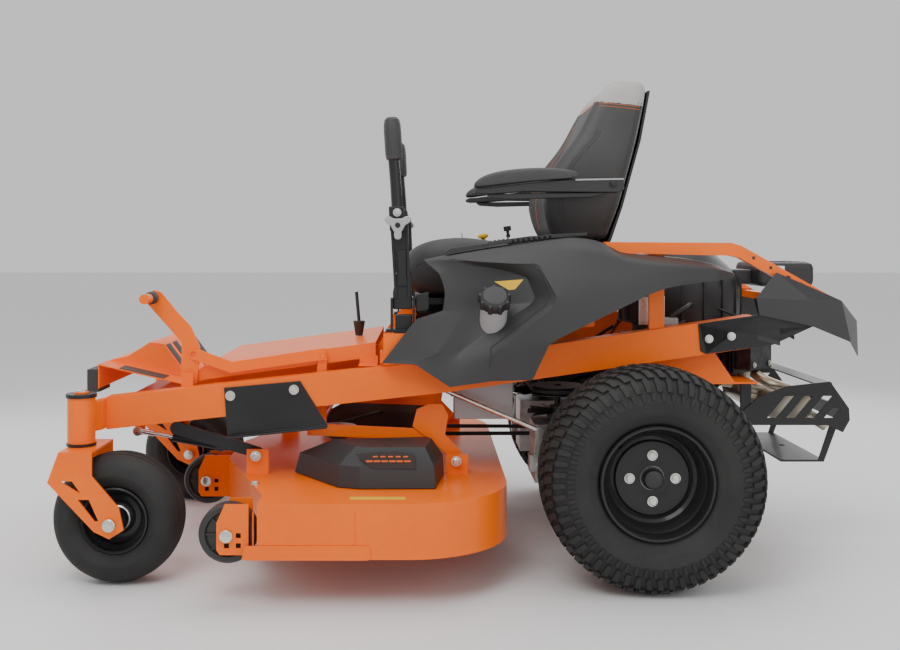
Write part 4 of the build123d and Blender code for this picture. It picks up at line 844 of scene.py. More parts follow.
def applied(obj):
    """The object's shape with its modifiers, as its own mesh."""
    graph = bpy.context.evaluated_depsgraph_get()
    bpy.context.view_layer.update()
    mesh = bpy.data.meshes.new_from_object(obj.evaluated_get(graph), depsgraph=graph)
    obj.modifiers.clear()
    obj.data = mesh
    return obj


def inflated(obj, held, voxel=0.008, most=0.012, pressure=3.0):
    """Puff a closed shape out between the places that are held."""
    smooth = obj.modifiers.new("round", "SUBSURF")
    smooth.levels = smooth.render_levels = 2
    remesh = obj.modifiers.new("even", "REMESH")
    remesh.mode = "VOXEL"
    remesh.voxel_size = voxel
    applied(obj)
    mesh = obj.data
    start = [vertex.co.copy() for vertex in mesh.vertices]
    pins = obj.vertex_groups.new(name="seams")
    for vertex in mesh.vertices:
        weight = held(vertex.co)
        if weight > 0:
            pins.add([vertex.index], weight, "REPLACE")
    cloth = obj.modifiers.new("filling", "CLOTH")
    cloth.settings.use_pressure = True
    cloth.settings.uniform_pressure_force = pressure
    cloth.settings.vertex_group_mass = "seams"
    cloth.settings.quality = 4
    cloth.settings.effector_weights.gravity = 0
    cloth.collision_settings.use_collision = False
    cloth.settings.tension_stiffness = cloth.settings.compression_stiffness = 20
    cloth.settings.bending_stiffness = 2
    scene = bpy.context.scene
    cloth.point_cache.frame_start, cloth.point_cache.frame_end = 1, 20
    for tick in range(1, 21):
        scene.frame_set(tick)
    applied(obj)
    scene.frame_set(1)
    for vertex, before in zip(obj.data.vertices, start):
        move = vertex.co - before
        if move.length > most:
            vertex.co = before + move * (most / move.length)
    fine = obj.modifiers.new("fine", "SUBSURF")
    fine.levels = fine.render_levels = 1
    return applied(obj)


def between(table, z):
    """The value of a broken line at a height."""
    for (z0, v0), (z1, v1) in zip(table, table[1:]):
        if z <= z1:
            return v0 + (v1 - v0) * max(0, (z - z0) / (z1 - z0))
    return table[-1][1]


def dressed(obj, slot_name, finishes=(), pick=None):
    """Give the finished cloth its covers; pick chooses one for each face by its middle."""
    mesh = obj.data
    mesh.materials.clear()
    for name in (slot_name, *finishes):
        mesh.materials.append(FINISHES[name])
    for face in mesh.polygons:
        face.use_smooth = True
        face.material_index = pick(face.center) if pick else 0
    obj["finish"] = slot_name
    return obj


def stitches(name, obj, path, spacing=7.0, slot_name="orange_thread", lift=0.4, radius=0.9, look=(0, 1, 0)):
    """Short thread capsules laid on a surface along a line of machine points; look points inwards."""
    places, line = [], [Vector(point) for point in path]
    for a, b in zip(line, line[1:]):
        count = max(1, round((b - a).length / spacing))
        places += [a.lerp(b, i / count) for i in range(count)]
    inward = Vector(look).normalized()
    bm = bmesh.new()
    for here, after in zip(places, places[1:]):
        found = []
        for place in (here, here.lerp(after, 0.62)):
            hit, point, normal, face = obj.ray_cast(at(*place) - inward * 0.2, inward)
            if hit:
                found.append(point + normal * lift / 1000)
        if len(found) < 2 or (found[1] - found[0]).length > spacing * 2.5 / 1000:
            continue
        along = found[1] - found[0]
        turn = along.to_track_quat("Z", "Y").to_matrix().to_4x4()
        made = bmesh.ops.create_cone(bm, cap_ends=True, segments=6, radius1=radius / 1000,
                                     radius2=radius / 1000, depth=along.length)
        bmesh.ops.transform(bm, matrix=Matrix.Translation((found[0] + found[1]) / 2) @ turn,
                            verts=made["verts"])
    mesh = bpy.data.meshes.new(name)
    bm.to_mesh(mesh)
    bm.free()
    return link(name, mesh, slot_name)


# %% [markdown]
# ### Seat back
# Level by level, the outline is a drawn side profile with bolsters that stand forward of the
# middle. The tables hold the front line, the rear line, the half width and the depth of the middle.
# %% Seat back
FRONT = [(864, 204), (880, 216), (890, 226), (940, 246), (985, 252), (1040, 242), (1085, 218), (1125, 184),
         (1160, 152), (1240, 112), (1295, 80), (1328, 42), (1345, 0)]
REAR = [(880, 44), (970, 9), (1160, -42), (1290, -72), (1325, -68), (1345, -30)]
HALF = [(880, 214), (930, 236), (1000, 244), (1120, 238), (1200, 218), (1300, 196), (1332, 172), (1345, 130)]
RECESS = [(880, 30), (960, 58), (1060, 60), (1140, 32), (1200, 14), (1345, 4)]
INSET = 8


def back_loop(z):
    front, rear, half, recess = (between(table, z) for table in (FRONT, REAR, HALF, RECESS))
    front, rear, half = front - INSET, rear + 3, half - INSET
    depth = front - rear
    side = [(rear, 0), (rear, 0.62 * half), (rear + 0.06 * depth, 0.93 * half), (rear + 0.2 * depth, half),
            (rear + 0.7 * depth, half), (rear + 0.93 * depth, 0.97 * half), (front, 0.86 * half),
            (front - 0.06 * depth, 0.74 * half), (front - recess, 0.58 * half), (front - recess, 0.0)]
    return [(x, y, z) for x, y in side] + [(x, -y, z) for x, y in side[-2:0:-1]]


BACK_LEVELS = [868, 892, 915, 950, 985, 1020, 1060, 1100, 1140, 1180, 1220, 1260, 1295, 1318, 1334]
back = rings("seat_back_cushion", [back_loop(z) for z in BACK_LEVELS], "seat_vinyl")


def machine(point):
    """Frame metres back to machine millimetres."""
    return (point - AXLE_MIDDLE) * 1000


def front_seam_x(z):
    return between(FRONT, z) - 62


def back_held(point):
    x, y, z = machine(point)
    half, rear = between(HALF, z), between(REAR, z)
    if z < 884 or abs(x - rear) < 12 and abs(y) < half * 0.8:
        return 1.0
    on_side = abs(y) > half * 0.8
    if on_side and (abs(x - front_seam_x(z)) < 5 or abs(x - rear - 26) < 5):
        return 1.0
    if abs(abs(y) - half * 0.68) < 5 and x > (between(FRONT, z) + rear) / 2:
        return 1.0
    return 1.0 if abs(z - 1254 - (x + 20) * 0.10) < 5 else 0.0


inflated(back, back_held)


def back_cover(point):
    x, y, z = machine(point)
    return 1 if z > 1254 + (x + 20) * 0.10 and x > between(REAR, z) + 14 else 0


dressed(back, "seat_vinyl", ("headrest_vinyl",), back_cover)
settle(back, "seat", "seat_vinyl", "seat_back")
bpy.context.view_layer.update()
threads = []
for sign in (1, -1):
    look = (0, -sign, 0)
    for rise in (-4, -12):
        line = [(x, sign * 250, 1254 + rise + (x + 20) * 0.10) for x in (-38, -10, 20, 50, 84)]
        threads.append(stitches("thread", back, line, look=look))
    for shift in (-5, 5):
        line = [(front_seam_x(z) + shift, sign * 250, z) for z in range(910, 1200, 20)]
        threads.append(stitches("thread", back, line, slot_name="grip_rubber", look=look))
        line = [(between(REAR, z) + 26 + shift, sign * 250, z) for z in range(910, 1290, 20)]
        threads.append(stitches("thread", back, line, slot_name="grip_rubber", look=look))
    line = [(400, sign * 0.68 * between(HALF, z), z) for z in range(910, 1250, 15)]
    threads.append(stitches("thread", back, line, look=(-1, 0, 0)))
for rise in (4, 12):
    threads.append(stitches("thread", back, [(400, y, 1262 + rise) for y in range(-150, 151, 30)],
                            look=(-1, 0, 0)))
settle(joined("seat_back_stitches", threads, "seat_vinyl"), "seat")
print("seat back", len(back.data.polygons), "faces")

# %% [markdown]
# ### Seat cushion
# The cushion is drawn in slices from back to front. Its sides stand higher than its middle, and two
# cross seams divide it into three pads.
# %% Seat cushion
BASE_Z = 712
TOP = [(196, 852), (230, 862), (300, 868), (380, 884), (440, 893), (500, 893), (560, 884), (604, 864),
       (636, 826), (644, 790)]
LEFT_RIGHT = 255


def base_loop(x):
    top = between([(a, b) for a, b in TOP], x) - INSET
    half = LEFT_RIGHT - INSET - max(0, (x - 560) * 0.25)
    low = BASE_Z + (max(0, x - 560) * 0.4)
    side = [(0, low), (0.86 * half, low), (half, low + 22), (half, top - 46), (0.95 * half, top - 12),
            (0.82 * half, top), (0.68 * half, top - 12), (0.56 * half, top - 24), (0, top - 26)]
    return [(x, y, z) for y, z in side] + [(x, -y, z) for y, z in side[-2:0:-1]]


base = rings("seat_base_cushion", [base_loop(x)
                                   for x in (198, 216, 260, 320, 380, 440, 500, 556, 600, 628,
                                             640)], "seat_vinyl")


def base_held(point):
    x, y, z = machine(point)
    top = between(TOP, x)
    if z < BASE_Z + 14:
        return 1.0
    if z > top - 70 and abs(abs(y) - 160) < 5:
        return 1.0
    if abs(z - top + 62) < 5 and abs(y) > 200:
        return 1.0
    return 1.0 if abs(y) < 160 and z > top - 70 and min(abs(x - edge) for edge in (330, 500)) < 5 else 0.0


inflated(base, base_held)
dressed(base, "seat_vinyl")
settle(base, "seat", "seat_vinyl", "seat_cushion")
bpy.context.view_layer.update()
threads = []
for sign in (1, -1):
    for shift in (-5, 5):
        threads.append(stitches("thread", base,
                                [(x, sign * (160 + shift), 1100) for x in range(225, 600, 25)],
                                look=(0, 0, -1)))
    threads.append(stitches("thread", base,
                            [(x, sign * 300, between(TOP, x) - 68) for x in range(220, 620, 20)],
                            slot_name="grip_rubber", look=(0, -sign, 0)))
for x in (330, 500):
    threads.append(stitches("thread", base, [(x + 5, y, 1100) for y in range(-150, 151, 25)],
                            look=(0, 0, -1)))
settle(joined("seat_base_stitches", threads, "seat_vinyl"), "seat")
print("seat base", len(base.data.polygons), "faces")

# %% [markdown]
# ## Armrests
# Each armrest is a skinned foam pad on a channel. It folds up about a bolt through the back.
# %% Armrests
PAD = [(150, 1046), (152, 1056), (180, 1064), (250, 1068), (330, 1064), (390, 1054), (424, 1038),
       (434, 1024), (432, 1014), (400, 1018), (320, 1028), (240, 1036), (170, 1040)]
TRAY = [(434, 1001), (433, 1008), (422, 1012), (396, 1014), (300, 1026), (200, 1036), (150, 1039),
        (28, 1042), (28, 1009), (40, 1002), (300, 1004), (380, 998), (420, 997)]
for name, sign in SIDES.items():
    loops = []
    for y, share in ((262, 0.7), (265, 1.0), (280, 1.1), (304, 1.1), (319, 1.0), (322, 0.7)):
        loops.append([(290 + (x - 290) * (0.94 + 0.06 * share), sign * y, 1034 + (z - 1034) * share) for x,
                      z in PAD])
    pad = rings("armrest_pad_" + name, loops, "seat_vinyl")
    soft = pad.modifiers.new("soft", "SUBSURF")
    soft.levels = soft.render_levels = 2
    applied(pad)
    dressed(pad, "seat_vinyl")
    settle(pad, f"armrest_{name}", "seat_vinyl", f"armrest_{name}")
    tray = plate("tray", TRAY, sign * 268, sign * 312, "black_plastic", 3)
    rib = plate("rib", [(30, 1040), (160, 1038), (160, 1034), (30, 1036)], sign * 312, sign * 314,
                "grey_plastic", 0.4)
    under = plate("under", [(60, 1003), (400, 998), (390, 988), (330, 984), (110, 990)], sign * 276,
                  sign * 304, "black_plastic", 2)
    pin = bolt("pin", (58, sign * 313, 1025), (0, sign, 0), across=13, height=5, washer=10,
               slot_name="black_paint")
    settle(joined("armrest_tray_" + name, [tray, rib, under, pin], "black_plastic"), f"armrest_{name}")
print("armrests done")

# %% [markdown]
# ## Fenders
# Each side fender is one blow-moulded panel. It wraps from the top of the console over the tank,
# down behind the driver's leg and back over the tyre, with a raised band around the filler pocket.
# The panel is a cage of its character lines. Those lines are creased, and subdivision fills in the
# soft faces between them, the way a clay modeller pulls surfaces between taped lines.
# %% Fender character lines
CAGE = {
    "T0": (567, 818, 372), "T1": (517, 830, 378), "T2": (350, 858, 384), "T3": (186, 881, 388),
    "T4": (120, 877, 390), "T5": (67, 849, 392), "T6": (49, 837, 393), "T7": (-85, 828, 394),
    "T8": (-196, 814, 390), "T9": (-246, 786, 380), "B9": (-246, 778, 386), "B8": (-195, 768, 430),
    "B7": (-70, 756, 466), "B6": (-17, 740, 474), "B5": (67, 698, 479), "B4": (228, 621, 476),
    "B3": (249, 606, 472), "B2": (290, 514, 460), "B1": (502, 494, 446), "B0": (592, 552, 434),
    "A": (678, 554, 426), "N1": (589, 667, 412), "N2": (520, 688, 402), "N3": (509, 740, 398),
    "N4": (529, 786, 388), "U0": (517, 822, 384), "U1": (401, 814, 406), "U2": (273, 812, 428),
    "U3": (228, 728, 460), "U4": (237, 701, 463), "U5": (389, 579, 458), "U6": (391, 510, 450),
    "V0": (472, 810, 386), "V1": (377, 800, 388), "V2": (300, 776, 398), "V3": (280, 726, 412),
    "V4": (288, 708, 414), "V5": (482, 578, 424), "V6": (600, 560, 428), "W1": (455, 683, 404),
    "W2": (532, 578, 434), "C0": (386, 700, 388), "C1": (392, 770, 380), "S1": (400, 830, 398),
    "S2": (300, 840, 412), "S3": (190, 852, 424), "S4": (110, 844, 430), "S5": (60, 824, 438),
    "S7": (-85, 808, 446), "S8": (-196, 798, 424), "M3": (180, 772, 456), "M4": (110, 762, 466),
    "M5": (30, 772, 470), "M7": (-85, 784, 464), "P4": (150, 692, 473),
}
INNER_Y = 292
for i in range(10):
    x, z, y = CAGE[f"T{i}"]
    CAGE[f"I{i}"] = (x, z + 3, INNER_Y)
FACES = """
S2 S3 M3 U2|U2 M3 U3|S3 S4 M4 M3|M3 M4 P4|M3 P4 U3|U3 P4 U4|P4 B4 U4|P4 M4 B5 B4|S4 S5 M5 M4|M4 M5 B6 B5
S5 S7 M7 M5|M5 M7 B7 B6|S7 S8 B8 M7|M7 B8 B7|U4 B4 B3 U5|U5 B3 B2 U6|U5 U6 B1 V5|V5 B1 B0 W2|W2 B0 A V6
W1 N2 N1 W2|W2 N1 A V6|V5 W2 W1|V4 V5 W1 C0|V3 V4 C0|V2 V3 C0 C1|V1 V2 C1|V0 V1 C1 N4|C0 W1 N2 N3|C1 C0 N3 N4
V0 N4 T0 U0|U0 U1 V1 V0|U1 U2 V2 V1|U2 U3 V3 V2|U3 U4 V4 V3|U4 U5 V5 V4|T0 T1 U0|T1 S1 U1 U0
T1 T2 S1|S1 S2 U2 U1
T2 T3 S3 S2|T2 S2 S1|T3 T4 S4 S3|T4 T5 S5 S4|T5 T6 S5|T6 T7 S7 S5|T7 T8 S8 S7|T8 T9 S8|S8 T9 B9 B8
I0 I1 T1 T0|I1 I2 T2 T1|I2 I3 T3 T2|I3 I4 T4 T3|I4 I5 T5 T4|I5 I6 T6 T5|I6 I7 T7 T6|I7 I8 T8 T7|I8 I9 T9 T8
"""
CREASES = {
    1.0: ["U0 U1 U2 U3 U4 U5 U6", "V0 V1 V2 V3 V4 V5", "N3 N2 W1 W2 V6", "I0 I1 I2 I3 I4 I5 I6 I7 I8 I9"],
    0.75: ["T0 T1 T2 T3 T4 T5 T6 T7 T8 T9", "N4 N3", "T9 S8 B8", "V4 C0"],
    0.35: ["S1 S2 S3 S4 S5 S7 S8"],
}
SQUARE_CORNERS = ["A", "T0", "T9", "I0", "I9", "B9", "B1", "B0"]
TIGHT_CORNERS = ["B2", "N4", "N2", "W2", "V5", "U5", "V3", "U3", "V2", "U2", "U6", "B3", "V4", "U4", "N1",
                 "T3", "T5"]
EDGE = ["T0 N4 N3 N2 N1 A B0 B1 U6 B2 B3 B4 B5 B6 B7 B8 B9 T9"]


def fender(name, sign):
    """The cage as a creased, subdivided skin with a wall thickness."""
    names = sorted(CAGE)
    place = {key: i for i, key in enumerate(names)}
    bm = bmesh.new()
    crease = bm.edges.layers.float.new("crease_edge")
    pinned = bm.verts.layers.float.new("crease_vert")
    corners = [bm.verts.new(at(CAGE[key][0], sign * CAGE[key][2], CAGE[key][1])) for key in names]
    for face in FACES.replace("\n", "|").split("|"):
        if face.strip():
            bm.faces.new([corners[place[key]] for key in face.split()])
    for amount, lines in {**CREASES, 0.9: EDGE}.items():
        for line in lines:
            keys = line.split()
            for a, b in zip(keys, keys[1:]):
                edge = bm.edges.get((corners[place[a]], corners[place[b]]))
                if edge:
                    edge[crease] = amount
    for key in SQUARE_CORNERS + TIGHT_CORNERS:
        corners[place[key]][pinned] = 1.0 if key in SQUARE_CORNERS else 0.75
    for key in SQUARE_CORNERS:
        for edge in corners[place[key]].link_edges:
            if edge.is_boundary:
                edge[crease] = 1.0
    bmesh.ops.recalc_face_normals(bm, faces=bm.faces)
    outside = sum((face.normal.y * sign + face.normal.z) * face.calc_area() for face in bm.faces)
    if outside < 0:
        bmesh.ops.reverse_faces(bm, faces=bm.faces)
    mesh = bpy.data.meshes.new(name)
    bm.to_mesh(mesh)
    bm.free()
    obj = link(name, mesh, "dark_plastic", 180)
    smooth = obj.modifiers.new("surface", "SUBSURF")
    smooth.levels = smooth.render_levels = 4
    skin = obj.modifiers.new("wall", "SOLIDIFY")
    skin.thickness = 0.0035
    skin.offset = -1
    applied(obj)
    obj.data.set_sharp_from_angle(angle=math.radians(24))
    return obj


panels = {name: fender("fender_" + name, sign) for name, sign in SIDES.items()}
bpy.context.view_layer.update()
print("fender corners", len(CAGE), "faces after subdivision", len(panels["left"].data.polygons))

# %% [markdown]
# ### Filler neck and cap
# A light neck stands through the pocket. Its black cap has eight finger ribs, made once and turned
# about the cap's axis by the `ring` tree.
# %% Fuel caps
CAP_AXIS = Vector((0, 0.7071, 0.7071))
CAP_FOOT = (388, 421, 676)


def along_axis(obj, foot, direction):
    """Move a shape built about the Z axis at the origin to stand on a machine point."""
    turn = Vector(direction).to_track_quat("Z", "X").to_matrix().to_4x4()
    obj.data.transform(Matrix.Translation(at(*foot)) @ turn)
    return obj


def spun_z(name, profile, slot_name, steps=64):
    """A solid turned about Z at the frame's origin from (radius, height) pairs."""
    points = [Vector((r * math.cos(2 * math.pi * s / steps), r * math.sin(2 * math.pi * s / steps), h)) / 1000
              for r, h in profile for s in range(steps)]
    n = len(profile)
    faces = [(k * steps + s, (k + 1) % n * steps + s, (k + 1) % n * steps + (s + 1) % steps,
              k * steps + (s + 1) % steps)
             for k in range(n) for s in range(steps)]
    return cage(name, points, faces, slot_name, 30)


for name, sign in SIDES.items():
    low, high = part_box("fuel_cap_" + name)
    top_middle = (low + high) / 2
    direction = (0, sign * CAP_AXIS.y, CAP_AXIS.z)
    foot = (CAP_FOOT[0], sign * CAP_FOOT[1], CAP_FOOT[2])
    inside = (machine(top_middle) - Vector(foot)).dot(Vector(direction))
    base = inside - 17
    body = spun_z("cap_body", [(0, base), (37, base), (38, base + 3), (38, base + 20), (36, base + 26),
                               (30, base + 31), (0, base + 33)], "black_plastic")
    finger = spun_z("finger", [(0, 0), (6.4, 0), (6.4, 20), (4.5, 26), (0, 28)], "black_plastic", 12)
    finger.data.transform(Matrix.Translation((0.0365, 0, base / 1000)))
    fingers = repeated("fingers", finger, "ring", 9, (0, 0, math.radians(40)))
    fingers.data.transform(Matrix.Translation(-AXLE_MIDDLE))
    cap = along_axis(joined("fuel_cap_finished_" + name, [body, fingers]), foot, direction)
    settle(cap, "fuel_cap_" + name, "black_plastic", "fuel_cap_" + name)
    neck = spun_z("filler_neck_" + name, [(27, base - 40), (31, base - 40), (31, base - 10), (35, base - 8),
                                          (35, base - 2), (27, base - 2)], "grey_plastic")
    settle(along_axis(neck, foot, direction), "chassis")
print("fuel caps done")

# %% [markdown]
# ### Fender label
# A small yellow label sits beside each cap. It is a grid dropped onto the skin, so that it follows
# the bend without cutting into it.
# %% Fender labels


def laid_on(obj, name, outline, sign, slot_name, lift=0.6, cells=8):
    """A thin label that follows a surface: a grid inside an (x, z) outline, dropped on from outside."""
    points, faces = [], []
    for row in range(cells + 1):
        share = row / cells
        low = [outline[0][k] + (outline[3][k] - outline[0][k]) * share for k in (0, 1)]
        high = [outline[1][k] + (outline[2][k] - outline[1][k]) * share for k in (0, 1)]
        for column in range(cells + 1):
            x, z = (low[k] + (high[k] - low[k]) * column / cells for k in (0, 1))
            hit, point, normal, face = obj.ray_cast(at(x, sign * 600, z), Vector((0, -sign, 0)))
            points.append(point + Vector((0, sign, 0)) * lift / 1000)
    wide = cells + 1
    for row in range(cells):
        for column in range(cells):
            a = row * wide + column
            faces.append((a, a + 1, a + wide + 1, a + wide))
    return cage(name, points, faces, slot_name, 60)


for name, sign in SIDES.items():
    label = laid_on(panels[name], "fender_label_" + name, [(384, 764), (346, 742), (330, 744), (308, 770)],
                    sign, "yellow_plastic")
    settle(label, "chassis", "yellow_plastic")
for name in SIDES:
    settle(panels[name], "chassis", "dark_plastic")
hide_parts("fenders")

# %% [markdown]
# ### Painted shade along the pocket edge
# The edge of the moulded pocket is a narrow undercut in shadow. That shade is painted: a thin black
# line is laid on the finished skin by casting rays at it from outside, so that it follows every bend.
# %% Pocket edge painted shade line
POCKET_SHADE_LINE = [(500, 824), (430, 817), (346, 812), (293, 811), (266, 795), (243, 735), (253, 707),
               (396, 595), (399, 536)]
bpy.context.view_layer.update()
for name, sign in SIDES.items():
    line = []
    for a, b in zip(POCKET_SHADE_LINE, POCKET_SHADE_LINE[1:]):
        for k in range(6):
            x, z = (a[i] + (b[i] - a[i]) * k / 6 for i in (0, 1))
            hit, point, normal, face = panels[name].ray_cast(at(x, sign * 700, z), Vector((0, -sign, 0)))
            if hit:
                line.append(tuple(machine(point)))
    # Painted shade: this black line stands for the shadow in the pocket's undercut.
    edge = tube("pocket_edge_" + name, line, 2.0, "black_plastic", 1, False)
    settle(edge, "chassis")
print("pocket edges done")

# %% [markdown]
# ## Steering levers
# Each lever is a bent tube in a pressed upright, with a soft grip at its top. A three-winged knob
# clamps the upright at the driver's height. The grip leans in towards the driver's hand.
# %% Levers
LEVER_X, LEVER_Y, LEVER_FOOT_Z = 625, 360, 704
LEAN = math.radians(3.4)


def up_lever(z, y, out=0.0):
    """A point on the leaning lever's axis at a height."""
    return (LEVER_X + (z - LEVER_FOOT_Z) * math.tan(LEAN) + out, y, z)


for name, sign in SIDES.items():
    pieces = []
    y = sign * LEVER_Y
    foot = [(600, 690), (650, 690), (651, 735), (646, 760), (640, 790), (604, 790), (600, 760), (599, 735)]
    pieces.append(plate("foot", foot, y - 13, y + 13, "black_paint", 3))
    upright = [(606, 786), (644, 786), (656, 936), (616, 936)]
    pieces.append(plate("upright", upright, y - 12, y + 12, "black_paint", 3))
    for edge in (-1, 1):
        wing = [(625 + edge * 17 - 4, 720), (625 + edge * 17 + 4, 720), (636 + edge * 21 + 3, 950),
                (636 + edge * 21 - 3, 950)]
        pieces.append(plate("wing", wing, y - 17, y + 17, "black_paint", 1.5))
    pieces.append(plate("web", [(612, 752), (640, 752), (636, 786), (640, 846), (616, 846), (616, 786)],
                        y + sign * 12, y + sign * 19, "black_paint", 2))
    pieces.append(plate("clamp", [(615, 896), (659, 896), (662, 962), (621, 962)], y - 18, y + 18,
                        "black_paint", 3))
    bent = [up_lever(880, y), up_lever(960, y), up_lever(1040, y), up_lever(1100, y, 2), up_lever(1160, y, 4),
            up_lever(1194, y - sign * 2, 3)]
    pieces.append(tube("bent_tube", bent, 15.2, "black_paint", 5))
    pieces.append(bolt("clamp_bolt", up_lever(946, y + sign * 19), (0, sign, 0), across=13, height=8,
                       washer=11))
    pieces.append(bolt("swing_nut", (LEVER_X - 25, y, LEVER_FOOT_Z), (-1, 0, 0), across=13, height=6,
                       washer=10))
    lever = joined("lever_finished_" + name, pieces, "black_paint")
    settle(lever, f"lever_{name}", "black_paint", f"lever_{name}")
    grip = [(0, 1086), (18, 1086), (21.5, 1089), (22.4, 1098), (23.2, 1150), (22.8, 1178), (20, 1192),
            (13, 1199), (0, 1200)]
    handle = turned("grip", [(r, z - 1088) for r, z in grip], (0, 0, 0), "grip_rubber", axis="Z", steps=40)
    lean = Matrix.Rotation(LEAN, 4, "Y")
    handle.data.transform(
        Matrix.Translation(at(*up_lever(1088, y))) @ lean @ Matrix.Translation(-at(0, 0, 0)))
    rib = about_origin("rib", [(math.cos(a) * r, math.sin(a) * r, z) for z in (0, 2.4) for r in (21.5, 23.4)
                               for a in [i * math.pi / 12 for i in range(24)]],
                       [(s, (s + 1) % 24, 24 + (s + 1) % 24, 24 + s) for s in range(24)]
                       + [(48 + s, 72 + s, 72 + (s + 1) % 24, 48 + (s + 1) % 24) for s in range(24)]
                       + [(24 + s, 24 + (s + 1) % 24, 72 + (s + 1) % 24, 72 + s) for s in range(24)],
                       "grip_rubber")
    ribs = repeated("ribs", rib, "row", 9, (0, 0, 0.0075))
    ribs.data.transform(Matrix.Translation(at(*up_lever(1100, y))) @ lean @ Matrix.Translation(-at(0, 0, 0)))
    stripe = [up_lever(1176, y + sign * 19), up_lever(1190, y + sign * 18), up_lever(1197, y + sign * 12),
              up_lever(1198, y)]
    mark = tube("stripe", stripe, 2.4, "orange_plastic", 2)
    settle(joined("lever_grip_" + name, [handle, ribs, mark], "grip_rubber"), f"lever_{name}")
    kx, _, kz = up_lever(912, y)
    star = []
    for k in range(3):
        middle = math.radians(90 + 60 + 120 * k)
        for off, r in ((-0.52, 20), (-0.30, 33), (-0.18, 37), (0, 38), (0.18, 37), (0.30, 33), (0.52, 20)):
            star.append((kx + r * math.cos(middle + off), kz + r * math.sin(middle + off)))
    knob = plate("lever_knob_" + name, star, y + sign * 21, y + sign * 38, "grey_plastic", 3.5)
    dimple = bolt("dimple", (kx, y + sign * 38, kz), (0, sign, 0), across=9, height=3, washer=7,
                  slot_name="black_paint")
    stand = [plate("stand", [(600, 634), (644, 634), (644, 676), (600, 676)], y - 16, y + 16,
                   "black_paint", 3),
             plate("stand", [(556, 690), (588, 684), (588, 730), (556, 736)], y + sign * 10, y + sign * 26,
                   "black_paint", 2)]
    settle(joined("lever_stand_" + name, stand, "black_paint"), f"lever_base_{name}")
    settle(joined("lever_knob_" + name, [knob, dimple], "black_plastic"), f"lever_{name}", "grey_plastic")
print("levers done")

# %% [markdown]
# ## Deck covers
# A moulded cover keeps grass and fingers off each spindle pulley. Its outside is a faceted shell with
# a louvred insert, whose slats come from the `row` tree.
# %% Deck covers
COVER_HEIGHTS = {"low": 252, "shoulder": 306, "crown": 350}
COVER = {
    "low": [(516, 362), (540, 530), (730, 533), (787, 512), (915, 332), (538, 332)],
    "shoulder": [(519, 366), (543, 522), (729, 526), (782, 506), (900, 340), (541, 334)],
    "crown": [(548, 380), (566, 500), (700, 508), (742, 486), (806, 388), (560, 352)],
}


def cover_shell(name, sign):
    """The cover's outside as two bands of facets and a flat crown."""
    points = [at(x, sign * y, COVER_HEIGHTS[level]) for level, line in COVER.items() for x, y in line]
    faces = []
    for k in range(2):
        for i in range(6):
            j = (i + 1) % 6
            faces.append((k * 6 + i, k * 6 + j, (k + 1) * 6 + j, (k + 1) * 6 + i))
    faces.append(tuple(range(12, 18)))
    return cage(name, points, faces, "dark_plastic")


for name, sign in SIDES.items():
    shell = cover_shell("deck_cover_" + name, sign)
    skin = shell.modifiers.new("wall", "SOLIDIFY")
    skin.thickness, skin.offset = 0.003, -1
    rounded(shell, 5, 3, 20)
    panel = plate("insert", [(588, 300), (594, 340), (640, 346), (742, 340), (700, 300)], sign * 524,
                  sign * 527, "dark_plastic", 1)
    slat = small_box("slat", (0, -1.5, 0), (16, 1.5, 4), "orange_plastic")
    slats = repeated("slats", slat, "row", 6, (0.019, 0, 0), (602, sign * 527, 318))
    bright = repeated("bright", small_box("slat", (0, -1.5, 0), (12, 1.5, 3), "orange_plastic"), "row", 5,
                      (0.019, 0, 0), (608, sign * 527, 330))
    settle(joined("deck_cover_finished_" + name, [shell, panel, slats, bright], "dark_plastic"), "deck",
           "dark_plastic")
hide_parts("deck_covers")
print("deck covers done")

# %% [markdown]
# ### Deck trim
# The side skirt is welded up from three lengths, so two seams show, and a wear strip stiffens its
# lower edge. The notice is a plain printed strip. Hanger bolts hold the lift arms to their ears.
# %% Deck trim
DECK_TOP = 250
seams = [tube("seam", [(x, 681, 122), (x, 681, 232)], 1.6, "orange_paint", 1, smooth=False)
         for x in (731, 971)]
stiffener = plate("stiffener", [(694, 119), (998, 119), (990, 152), (694, 152)], 680, 684, "orange_paint", 1)
settle(joined("deck_side_trim", seams + [stiffener]), "deck")
settle(block("deck_notice", (613, 612, DECK_TOP + 0.4), (747, 640, DECK_TOP + 1), "yellow_plastic", 0.2),
       "deck")
HANGER_BOLTS = [(1015, 300), (483, 286)]
links = [bolt("hanger_bolt", (x, sign * 360, z), (0, sign, 0), across=17, height=8, washer=14)
         for x, z in HANGER_BOLTS for sign in (1, -1)]
settle(joined("hanger_bolts", links), "deck")
bolts("deck_screws", [(1000, y, DECK_TOP) for y in (470, -470)], (0, 0, 1), "deck", across=13)
print("deck trim done")

# %% [markdown]
# ## Domed bolt heads
# The casters and the deck rollers turn on carriage bolts, whose round heads are pressed smooth so
# that grass can't catch on them. Each is a short profile turned about its own axis.
# %% Dome helper


def dome(name, place, sign, radius, height, slot_name="zinc_steel"):
    """A round bolt head whose flat face touches a place and which points left (1) or right (-1)."""
    profile = [(0, height), (radius * 0.5, height * 0.97), (radius * 0.85, height * 0.88),
               (radius, height * 0.78), (radius, -1.5), (0, -1.5)]
    return turned(name, [(r, sign * along) for r, along in profile], place, slot_name, steps=32, sharp=50)


